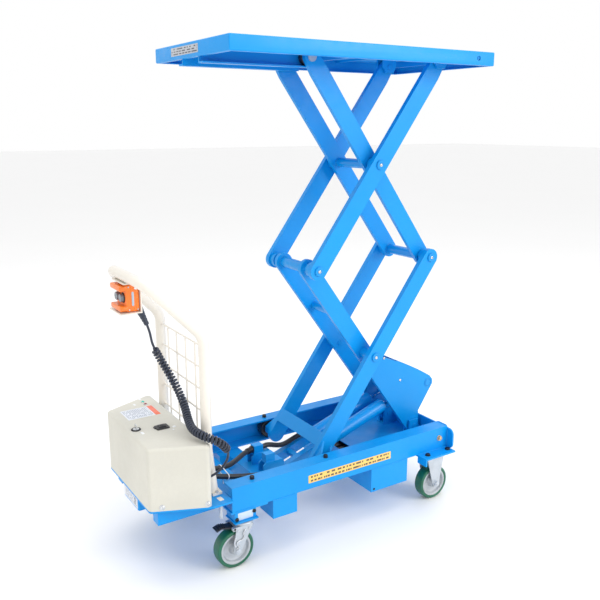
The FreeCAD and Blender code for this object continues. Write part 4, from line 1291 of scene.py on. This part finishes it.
class MESH_OT_lift_chassis(bpy.types.Operator):
    """Make the chassis bolts, stickers, weld beads and charger box"""

    bl_idname = "mesh.lift_chassis"
    bl_label = "Chassis details"

    def execute(self, context):
        dark, yellow, zinc, labels, worn, welds = [], [], [], [], [], []
        for side in (-1.0, 1.0):
            out = Y_AXIS * side
            for x in (0.411, 0.509):
                dark += hex_bolt((x, side * 0.258, 0.197), Z_AXIS, 15.0, 6.5, 10.0)
                dark += hex_bolt((x, side * 0.258, 0.191), -Z_AXIS, 15.0, 6.5, 10.0, 3.0)
            yellow += hex_bolt((0.485, side * RAIL_FACE, 0.240), out, 16.0, 7.5, 10.5, 3.0)
            for x in (-0.014, -0.300):
                dark += hex_bolt((x, side * 0.209, 0.280), Z_AXIS, 13.0, 10.0, 8.0)
            s = np.linspace(0.0, 1.0, 141)
            stud = np.stack([6.0 - 0.45 * (0.5 + 0.5 * np.cos(TAU * 35.0 * s)), 180.0 + 64.0 * s], -1)
            stud = np.concatenate([[(0.0, 180.0)], stud, [(0.0, 244.0)]])
            zinc.append(turned(stud, (-0.415, side * 0.215, 0.0), Z_AXIS, 24))
            zinc.append(
                turned(
                    rounded_profile(10.4, 234.0, 243.0, 0.9, 5.5), (-0.415, side * 0.215, 0.0), Z_AXIS, 48,
                    18.0,
                )
            )
            for x, z in ((-0.371, 0.169), (-0.309, 0.183)):
                dark.append(cap_screw((x, side * RAIL_FACE, z), out, 6.5, 5.0))
            dark.append(cap_screw((0.179, side * RAIL_FACE, 0.118), out, 4.0, 2.4))
            labels.append(
                plate((352.0, 28.0), 0.6, 2.0, 0.2, (0.075, side * RAIL_FACE, 0.232), X_AXIS * -side, Z_AXIS)
            )
            worn.append(
                plate(
                    (54.0, 25.0), 0.35, 2.0, 0.15, (-0.340, side * RAIL_FACE, 0.1765), X_AXIS * -side, Z_AXIS,
                )
            )
            welds += self.side_welds(side)
        worn.append(plate((52.0, 22.0), 0.35, 2.0, 0.15, (-0.255, RAIL_FACE - 0.0541, 0.252), X_AXIS, Z_AXIS))
        bolts = piece("chassis_dark_bolts", dark, "chassis", "Black oxide steel")
        piece("rail_face_bolts", yellow, "chassis", "Yellow zinc steel")
        piece("deck_studs", zinc, "chassis", "Zinc plate")
        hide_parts("chassis_bolts")
        stickers = piece("warning_stickers", labels, "chassis", "Warning sticker")
        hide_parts("chassis_labels")
        piece("worn_stickers", worn, "chassis", "Worn sticker")
        piece("chassis_welds", welds, "chassis", "Blue enamel")
        low, high = corners_of("charger")
        size = (high - low) / MM
        box_centre = (low + high) / 2.0
        charger = piece(
            "charger_box",
            [
                slab(
                    (size[0], size[1]), size[2], 6.0, 2.5, (box_centre[0], box_centre[1], low[2]), X_AXIS,
                    Y_AXIS,
                )
            ],
            "chassis", "Blue enamel",
        )
        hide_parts("charger")
        face = low[0]
        piece(
            "charger_sticker",
            [plate((size[1] - 12.0, size[2] - 10.0), 0.9, 3.0, 0.3,
                   (face + 0.0004, box_centre[1], box_centre[2]), -Y_AXIS,
                  Z_AXIS)],
            "chassis", "Charger sticker",
        )
        grille = plate(
            (3.0, 26.0), 0.8, 1.5, 0.3, (face - 0.0003, box_centre[1] - 38.0 * MM, box_centre[2]), -Y_AXIS,
            Z_AXIS)
        piece("charger_grille", [grille], "chassis", "Black moulding")
        return {"FINISHED"}

    def side_welds(self, side):
        """Beads along one side of the chassis: brackets, clevises, beam, deck and end plate."""
        out = Y_AXIS * side
        beads = []

        def bead(start, end, radius, towards, ripple=4.0):
            """A bead between two (x, |y|, z) points."""
            places = [(x, side * y, z) for x, y, z in (start, end)]
            beads.append(weld(*places, radius, towards, ripple))

        for y, lean in ((0.058, -1.0), (0.066, 1.0), (0.087, -1.0), (0.095, 1.0)):
            bead((0.464, y, 0.2003), (0.520, y, 0.2003), 2.2, Z_AXIS + lean * out)
        for y, lean in ((0.022, -1.0), (0.028, 1.0), (0.054, -1.0), (0.060, 1.0)):
            bead((-0.170, y, 0.1973), (-0.148, y, 0.1973), 2.2, Z_AXIS + lean * out)
            bead((-0.1457, y, 0.143), (-0.1457, y, 0.192), 2.2, X_AXIS + lean * out)
        for start_x, end_x in ((-0.236, -0.148), (-0.376, -0.304), (0.168, 0.330)):
            bead((start_x, WELD_FACE, 0.1968), (end_x, WELD_FACE, 0.1968), 1.6, out, 5.0)
        bead((0.5247, WELD_FACE, 0.202), (0.5247, WELD_FACE, 0.268), 2.4, out - X_AXIS)
        bead((0.5247, 0.186, 0.2803), (0.5247, 0.232, 0.2803), 2.4, Z_AXIS - X_AXIS)
        bead((-0.3863, 0.186, 0.2475), (-0.3863, 0.232, 0.2475), 2.0, Z_AXIS - X_AXIS)
        bead((0.384, WELD_FACE, 0.1972), (0.522, WELD_FACE, 0.1972), 2.0, Z_AXIS + out, 5.0)
        for x in (-0.432, -0.400):
            bead((x, 0.150, 0.2503), (x, 0.190, 0.2503), 0.4, Z_AXIS)
        return beads


# ---------------------------------------------------------------- power cover and handle
COVER_FLARE = 76.0 / 178.0  # how much each side of the cover widens along X
KEY_AT = (-0.608, -0.022)
SOCKET_AT = (-0.533, -0.049)
GUARD_LEVELS = (0.447, 0.518, 0.589, 0.660, 0.731)


class MESH_OT_lift_power(bpy.types.Operator):
    """Make the power cover's sticker, lamps, key bezel, socket and screws, and the handle's welds"""

    bl_idname = "mesh.lift_power"
    bl_label = "Power cover and handle"

    def execute(self, context):
        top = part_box("power_cover")[1][2]
        sticker = piece(
            "instruction_sticker",
            [plate((110.0, 86.0), 0.6, 2.0, 0.2, (-0.547, 0.103, top), X_AXIS, Y_AXIS)],
            "chassis", "Instruction sticker",
        )
        bezel = [(10.3, 0.0), (15.4, 0.0), (15.4, 1.6), (14.2, 2.9), (11.6, 3.1), (10.3, 2.0), (10.3, 0.0)]
        piece(
            "key_bezel", [turned(bezel, (*KEY_AT, top), Z_AXIS, 56)], "chassis", "Black oxide steel",
        )
        housing = [
            plate((42.0, 34.0), 4.2, 4.0, 1.4, (*SOCKET_AT, top), X_AXIS, Y_AXIS),
            plate((24.0, 22.0), 3.4, 3.0, 1.2, (SOCKET_AT[0], SOCKET_AT[1], top + 0.004), X_AXIS, Y_AXIS),
            plate(
                (5.0, 14.0), 3.2, 1.0, 0.8, (SOCKET_AT[0] - 0.022, SOCKET_AT[1] + 0.005, top), X_AXIS, Y_AXIS,
            ),
            turned(
                [(0.0, 0.0), (6.0, 0.0), (6.0, 1.0), (5.2, 1.6), (0.0, 1.6)], (*SOCKET_AT, top + 0.0074),
                Z_AXIS, 32,
            ),
        ]
        connector = piece("charge_socket", housing, "chassis", "Black moulding")
        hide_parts("cover_fittings")
        marks = []
        for x, y, w, h in ((-0.505, 0.222, 9.0, 13.0), (-0.538, 0.182, 7.0, 16.0),
                           (-0.600, -0.057, 8.0, 20.0),
                           (-0.497, -0.062, 10.0, 12.0), (-0.508, -0.083, 5.0, 8.0)):
            marks.append(plate((w, h), 0.25, 1.0, 0.1, (x, y, top), X_AXIS, Y_AXIS))
        piece("cover_marks", marks, "chassis", "White tie plastic")
        t = np.linspace(0.0, math.pi / 2.0, 7)
        for name, y, material in (
            ("green_lamp", 0.190, "Green lamp lens"), ("red_lamp", 0.165, "Red lamp lens"),
        ):
            dome = np.stack([5.2 * np.cos(t), 1.2 + 4.0 * np.sin(t)], -1)
            dome = np.concatenate([[(0.0, 0.0), (5.2, 0.0)], dome])
            piece(name, [turned(dome, (-0.505, y, top), Z_AXIS, 28)], "chassis", material)
            rim = [(5.2, 0.0), (7.2, 0.0), (7.0, 1.2), (5.9, 1.7), (5.2, 1.3), (5.2, 0.0)]
            piece(
                name + "_rim", [turned(rim, (-0.505, y, top), Z_AXIS, 32)], "chassis", "Bright screw steel",
            )

        screws = []
        for side in (-1.0, 1.0):
            out = np.array([-COVER_FLARE, side, 0.0])
            out /= np.linalg.norm(out)
            for x, y in ((-0.600, 0.195), (-0.474, 0.2488)):
                surface_y = 0.180 + (x + 0.635) * COVER_FLARE
                screws.append(cap_screw((x, side * surface_y, 0.262), out, 7.0, 4.2))
                screws.append(
                    turned(
                        [(0.0, 0.0), (9.0, 0.0), (8.8, 0.9), (0.0, 0.9)], (x, side * surface_y, 0.262), out,
                        32,
                    )
                )
        piece("cover_screws", screws, "chassis", "Bright screw steel")

        welds = []
        for y in (-0.105, -0.035, 0.035, 0.105):
            for z in GUARD_LEVELS:
                t = np.linspace(0.0, math.pi, 7)
                profile = np.stack([4.6 * np.sin(t), -3.4 * np.cos(t)], -1)
                welds.append(turned(profile, (-0.436, y, z), X_AXIS, 10))
        for side in (-1.0, 1.0):
            for z in GUARD_LEVELS:
                profile = [(0.0, -3.0), (5.4, -3.0), (5.6, -0.5), (4.4, 1.5), (3.2, 3.4), (0.0, 3.4)]
                welds.append(turned(profile, (-0.436, side * 0.1535, z), -Y_AXIS * side, 12))
            t = np.arange(40) * TAU / 40
            path = np.stack(
                [-0.4195 + 0.0176 * np.cos(t), side * (0.170 + 0.0176 * np.sin(t)), np.full(40, 0.2586)], -1,
            )
            welds.append(carried(path, circle(2.0, 8), Z_AXIS, closed=True))
        piece("guard_welds", welds, "chassis", "Cream enamel on tube")
        feet = []
        for side in (-1.0, 1.0):
            for y in (0.150, 0.190):
                feet += hex_bolt((-0.416, side * y, 0.258), Z_AXIS, 9.0, 4.5, 6.0)
        piece("handle_foot_bolts", feet, "chassis", "Bright screw steel")
        patch = plate((16.0, 24.0), 0.5, 3.0, 0.2, (-0.420, -0.222, 0.250), X_AXIS, Y_AXIS)
        piece("deck_patch", [patch], "chassis", "Cream enamel on tube")
        self.holder_clips()
        return {"FINISHED"}

    def holder_clips(self):
        """Two plates that carry the pendant holder under the handle's cross tube."""
        straps = []
        for y in (0.008, 0.056):
            path = smooth_path([(-0.592, y, 0.9195), (-0.600, y, 0.9225), (-0.605, y, 0.9235)], 8)
            straps.append(carried(path, band(16.0, 3.0), Y_AXIS))
        piece("holder_straps", straps, "chassis", "Cream enamel on tube")


# ---------------------------------------------------------------- hand control
class MESH_OT_lift_pendant(bpy.types.Operator):
    """Make the orange hand control with its finger guards, buttons and inserts"""

    bl_idname = "mesh.lift_pendant"
    bl_label = "Hand control"

    def execute(self, context):
        low, high = corners_of("pendant_case")
        y = (low[1] + high[1]) / 2.0
        width = (high[1] - low[1]) / MM
        height = (high[2] - low[2]) / MM
        depth = 42.0
        back = high[0]
        shell = [slab((width, height), depth, 9.0, 5.0, (back, y, (low[2] + high[2]) / 2.0), -Y_AXIS, Z_AXIS)]
        for z in (0.840, 0.902):
            shell.append(slab((width, 16.0), 26.0, 6.0, 3.0, (low[0] + 0.026, y, z), -Y_AXIS, Z_AXIS))
        for z in (0.852, 0.8715, 0.891):
            shell.append(
                slab((width + 2.0, 3.0), depth - 12.0, 1.4, 1.0, (back - 0.004, y, z), -Y_AXIS, Z_AXIS)
            )
        for k in range(4):
            shell.append(plate((4.0, height - 18.0), 1.6, 1.5, 0.7,
                               (back - (9.0 + 8.0 * k) * MM, low[1] + 0.0002, 0.8715),
                              X_AXIS, Z_AXIS))
        case = piece("pendant_shell", shell, "chassis", "Orange shell plastic")
        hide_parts("pendant_case")
        insert = [plate((7.0, 44.0), 2.2, 3.0, 0.9, (back - 0.022, low[1] - 0.0010, 0.870), X_AXIS, Z_AXIS)]
        piece("pendant_insert", insert, "chassis", "Grey blue insert")
        patch = [
            plate((26.0, 40.0), 2.4, 5.0, 1.2, (back - 0.024, y - 0.004, high[2] - 0.0004), X_AXIS, Y_AXIS)
        ]
        piece("pendant_top_patch", patch, "chassis", "Dark red patch")
        under = [plate((30.0, 50.0), 2.2, 5.0, 1.0, (back - 0.022, y, low[2] + 0.0006), X_AXIS, -Y_AXIS)]
        piece("pendant_foot", under, "chassis", "Black moulding")
        badge = [plate((13.0, 8.0), 1.4, 3.9, 0.6, (back - 0.010, low[1] - 0.0014, 0.902), X_AXIS, Z_AXIS)]
        piece("pendant_badge", badge, "chassis", "White tie plastic")
        screws = []
        for x, z in ((back - 0.007, 0.836), (back - 0.034, 0.836), (back - 0.034, 0.907)):
            screws.append(cap_screw((x, low[1] - 0.0004, z), -Y_AXIS, 2.6, 1.6))
        piece("pendant_screws", screws, "chassis", "Bright screw steel")
        bezels = []
        for node, body in (("raise_button", "raise_key"), ("lower_button", "lower_key")):
            own_low, own_high = corners_of(node)
            centre = (own_low + own_high) / 2.0
            radius = (own_high[1] - own_low[1]) / MM / 2.0
            length = (own_high[0] - own_low[0]) / MM
            t = np.linspace(0.0, math.pi / 2.0, 6)
            edge = np.stack([radius - 3.0 + 3.0 * np.cos(t), length - 3.0 + 3.0 * np.sin(t)], -1)
            profile = np.concatenate(
                [[(0.0, 0.0), (radius, 0.0)], edge, [(6.0, length - 0.6), (0.0, length - 1.2)]]
            )
            button = piece(body + "_cap", [turned(profile, (own_high[0], centre[1], centre[2]), -X_AXIS,
                                                  40)], body,
                           "Grey key plastic")
            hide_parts(node)
            bezel = [(radius + 0.2, 0.0), (radius + 3.4, 0.0), (radius + 3.4, 1.8), (radius + 2.2, 3.0),
                     (radius + 0.8, 3.0), (radius + 0.2, 2.2), (radius + 0.2, 0.0)]
            bezels.append(turned(bezel, (back - 0.0418, centre[1], centre[2]), -X_AXIS, 44))
        piece("button_bezels", bezels, "chassis", "Black moulding")
        return {"FINISHED"}


# ---------------------------------------------------------------- casters
class MESH_OT_lift_casters(bpy.types.Operator):
    """Make the tyres, wheel centres, swivel races, axle nuts and brake linkages"""

    bl_idname = "mesh.lift_casters"
    bl_label = "Casters"

    def execute(self, context):
        for kind in ("swivel", "rigid"):
            for side_name in SIDES:
                node = "%s_wheel_%s" % (kind, side_name)
                self.wheel(node, middle(node))
        for side_name in SIDES:
            self.swivel(side_name)
        nuts = []
        for side in (-1.0, 1.0):
            centre = middle("rigid_wheel_near") * [1.0, 0.0, 1.0] + Y_AXIS * side * abs(
                middle("rigid_wheel_near")[1]
            )
            nuts += self.axle(centre, 29.5)
            for way in (-1.0, 1.0):
                nuts += hex_bolt(
                    (centre[0] + way * 0.034 - 0.006, centre[1], 0.1862), -Z_AXIS, 10.0, 4.5, 7.0,
                )
        piece("rigid_axle_nuts", nuts, "chassis", "Zinc plate")
        return {"FINISHED"}

    def wheel(self, node, hub):
        """A polyurethane tyre with a crowned face on a cast centre: a dished web with lightening pockets."""
        origin = hub - Y_AXIS * 0.020
        t = np.linspace(-1.0, 1.0, 9)
        crown = 64.9 - 0.7 * t**2
        face = np.stack([crown, 20.0 + 14.0 * t], -1)
        q = np.linspace(0.0, math.pi / 2.0, 6)
        low = np.stack([58.2 + 6.0 * np.sin(q), 6.0 - 6.0 * np.cos(q)], -1)
        high = np.stack([58.2 + 6.0 * np.cos(q), 34.0 + 6.0 * np.sin(q)], -1)
        tyre = np.concatenate(
            [[(52.6, 2.2), (54.0, 0.8)], low[:-1], face, high[1:], [(54.0, 39.2), (52.6, 37.8), (52.6, 2.2)]]
        )
        made = piece(node + "_tyre", [turned(tyre, origin, Y_AXIS, 96)], node, "Green tyre")
        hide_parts(node)
        rim = [
            (6.2, -4.0), (16.0, -4.0), (17.4, -2.6), (18.6, 8.0), (22.0, 13.0), (34.0, 14.2), (42.0, 11.0),
            (45.0, 3.4),
            (46.6, 1.8), (52.0, 1.8), (52.9, 2.6), (52.9, 37.4), (52.0, 38.2), (46.6, 38.2), (45.0, 36.6),
            (42.0, 29.0),
            (34.0, 25.8), (22.0, 27.0), (18.6, 32.0), (17.4, 42.6), (16.0, 44.0), (6.2, 44.0), (6.2, -4.0),
        ]
        parts = [turned(rim, origin, Y_AXIS, 96)]
        ribs = 6
        for k in range(ribs):
            angle = TAU * k / ribs + 0.3
            spoke = np.array([math.cos(angle), 0.0, math.sin(angle)])
            across = np.cross(Y_AXIS, spoke)
            for y, way in ((0.0135, -1.0), (0.0265, 1.0)):
                at = origin + spoke * 0.0315 + Y_AXIS * y
                parts.append(slab((28.0, 5.0), 6.0, 1.5, 1.2, at, spoke, across * (1.0 if way < 0 else -1.0)))
        seal = [(8.0, 0.0), (14.0, 0.0), (14.0, 0.8), (12.8, 1.5), (9.2, 1.5), (8.0, 0.8), (8.0, 0.0)]
        piece(node + "_centre", parts, node, "Cast wheel centre")
        piece(
            node + "_seals",
            [
                turned(seal, origin - Y_AXIS * 0.004, -Y_AXIS, 40),
                turned(seal, origin + Y_AXIS * 0.044, Y_AXIS, 40),
            ],
            node, "Black moulding",
        )

    def axle(self, centre, leg):
        """A hexagon nut on one side of a fork and a bolt head on the other."""
        parts = []
        for way in (-1.0, 1.0):
            place = centre + Y_AXIS * way * leg * MM
            parts.append(turned(rounded_profile(12.6, 0.0, 1.6, 0.4), place, Y_AXIS * way, 40))
            parts.append(turned(rounded_profile(10.8, 1.4, 9.0, 1.1), place, Y_AXIS * way, 48, 18.6))
            parts.append(
                turned(
                    [(0.0, 8.6), (5.6, 8.6), (5.6, 10.2), (4.8, 11.0), (0.0, 11.0)], place, Y_AXIS * way, 28,
                )
            )
        return parts

    def swivel(self, name):
        """The ball race, king pin, rivets, axle nuts and the bent brake rods of one swivelling caster."""
        body = "swivel_" + name
        axis = joint_at("swivel_" + name)
        hub = middle("swivel_wheel_" + name)
        t = np.linspace(0.0, math.pi, 9)
        bulge = np.stack([33.0 + 3.4 * np.sin(t), 151.4 - 3.6 * np.cos(t)], -1)
        race = np.concatenate(
            [[(20.0, 146.4), (33.0, 147.8)], bulge, [(33.0, 155.6), (20.0, 155.8), (20.0, 146.4)]]
        )
        head = [turned(race, (axis[0], axis[1], 0.0), Z_AXIS, 72)]
        head.append(
            turned(rounded_profile(15.0, 134.6, 141.2, 1.2), (axis[0], axis[1], 0.0), Z_AXIS, 48, 24.0)
        )
        for way in (-1.0, 1.0):
            for along_x in (0.008, -0.030):
                place = (axis[0] + along_x, hub[1] + way * 0.0295, 0.132)
                head.append(turned(rounded_profile(4.6, 0.0, 2.2, 1.0), place, Y_AXIS * way, 24))
        head += self.axle(hub, 29.5)
        piece("swivel_head_" + name, head, body, "Zinc plate")
        rods = []
        for way in (-1.0, 1.0):
            y = hub[1] + way * 0.0322
            bends = [
                (hub[0] + 0.026, y, 0.131), (hub[0] + 0.020, y, 0.122), (hub[0] + 0.022, y, 0.110),
                (hub[0] + 0.014, y, 0.101), (hub[0] - 0.001, y, 0.098), (hub[0] - 0.004, y, 0.088),
                (hub[0] + 0.003, y, 0.080), (hub[0] - 0.004, y, 0.0745),
            ]
            rods.append(carried(smooth_path(bends, 44), circle(2.1, 12), Y_AXIS))
            for bend in (bends[0], bends[-1]):
                rods.append(turned(rounded_profile(4.0, -2.4, 2.8, 0.8), bend, Y_AXIS * way, 24))
            clip = [(hub[0] - 0.009, y, 0.112), (hub[0] - 0.012, y, 0.094), (hub[0] - 0.008, y, 0.080)]
            rods.append(carried(smooth_path(clip, 16), band(5.0, 1.6), Y_AXIS))
        piece("brake_rods_" + name, rods, body, "Bright screw steel")
        grip_low = corners_of("brake_pedal_" + name)[0]
        ribs = []
        for k in range(5):
            x = grip_low[0] + 0.006 + 0.007 * k
            z = 0.1445 + 0.0058 * math.sin(math.pi * (k + 0.6) / 5.6)
            ribs.append(slab((2.4, 26.0), 2.2, 1.1, 0.8, (x, hub[1], z + 0.0022), X_AXIS, Y_AXIS))
        piece("pedal_ribs_" + name, ribs, "brake_" + name, "Black moulding")


# ---------------------------------------------------------------- panel and registration
OPERATORS = (
    MESH_OT_lift_stage, MESH_OT_lift_cords, MESH_OT_lift_paint, MESH_OT_lift_platform, MESH_OT_lift_scissor,
    MESH_OT_lift_cylinders, MESH_OT_lift_chassis, MESH_OT_lift_power, MESH_OT_lift_pendant,
    MESH_OT_lift_casters,
)


class VIEW3D_PT_lift_table(bpy.types.Panel):
    """Lists the lift table's steps and settings"""

    bl_idname = "VIEW3D_PT_lift_table"
    bl_label = "Lift Table"
    bl_space_type = "VIEW_3D"
    bl_region_type = "UI"
    bl_category = "Lift Table"

    def draw(self, context):
        layout = self.layout
        for operator in OPERATORS:
            layout.operator(operator.bl_idname)
        for group in (context.scene.lift_stage, context.scene.lift_finishes, context.scene.lift_cords):
            box = layout.box()
            for key in group.bl_rna.properties.keys():
                if key not in ("rna_type", "name"):
                    box.prop(group, key)


CLASSES = (LiftStage, LiftFinishes, LiftCords, *OPERATORS, VIEW3D_PT_lift_table)


def register():
    for item in CLASSES:
        bpy.utils.register_class(item)
    bpy.types.Scene.lift_stage = bpy.props.PointerProperty(type=LiftStage)
    bpy.types.Scene.lift_finishes = bpy.props.PointerProperty(type=LiftFinishes)
    bpy.types.Scene.lift_cords = bpy.props.PointerProperty(type=LiftCords)


def unregister():
    del bpy.types.Scene.lift_cords
    del bpy.types.Scene.lift_finishes
    del bpy.types.Scene.lift_stage
    for item in reversed(CLASSES):
        bpy.utils.unregister_class(item)


def main():
    register()
    for item in list(bpy.context.scene.objects):
        if item.type in ("CAMERA", "LIGHT") or item.name == "Cube":
            bpy.data.objects.remove(item)
    bpy.ops.mesh.lift_stage()
    bpy.ops.mesh.lift_cords()
    bpy.ops.mesh.lift_paint()
    bpy.ops.mesh.lift_platform()
    bpy.ops.mesh.lift_scissor()
    bpy.ops.mesh.lift_cylinders()
    bpy.ops.mesh.lift_chassis()
    bpy.ops.mesh.lift_power()
    bpy.ops.mesh.lift_pendant()
    bpy.ops.mesh.lift_casters()


if __name__ == "__main__":
    main()
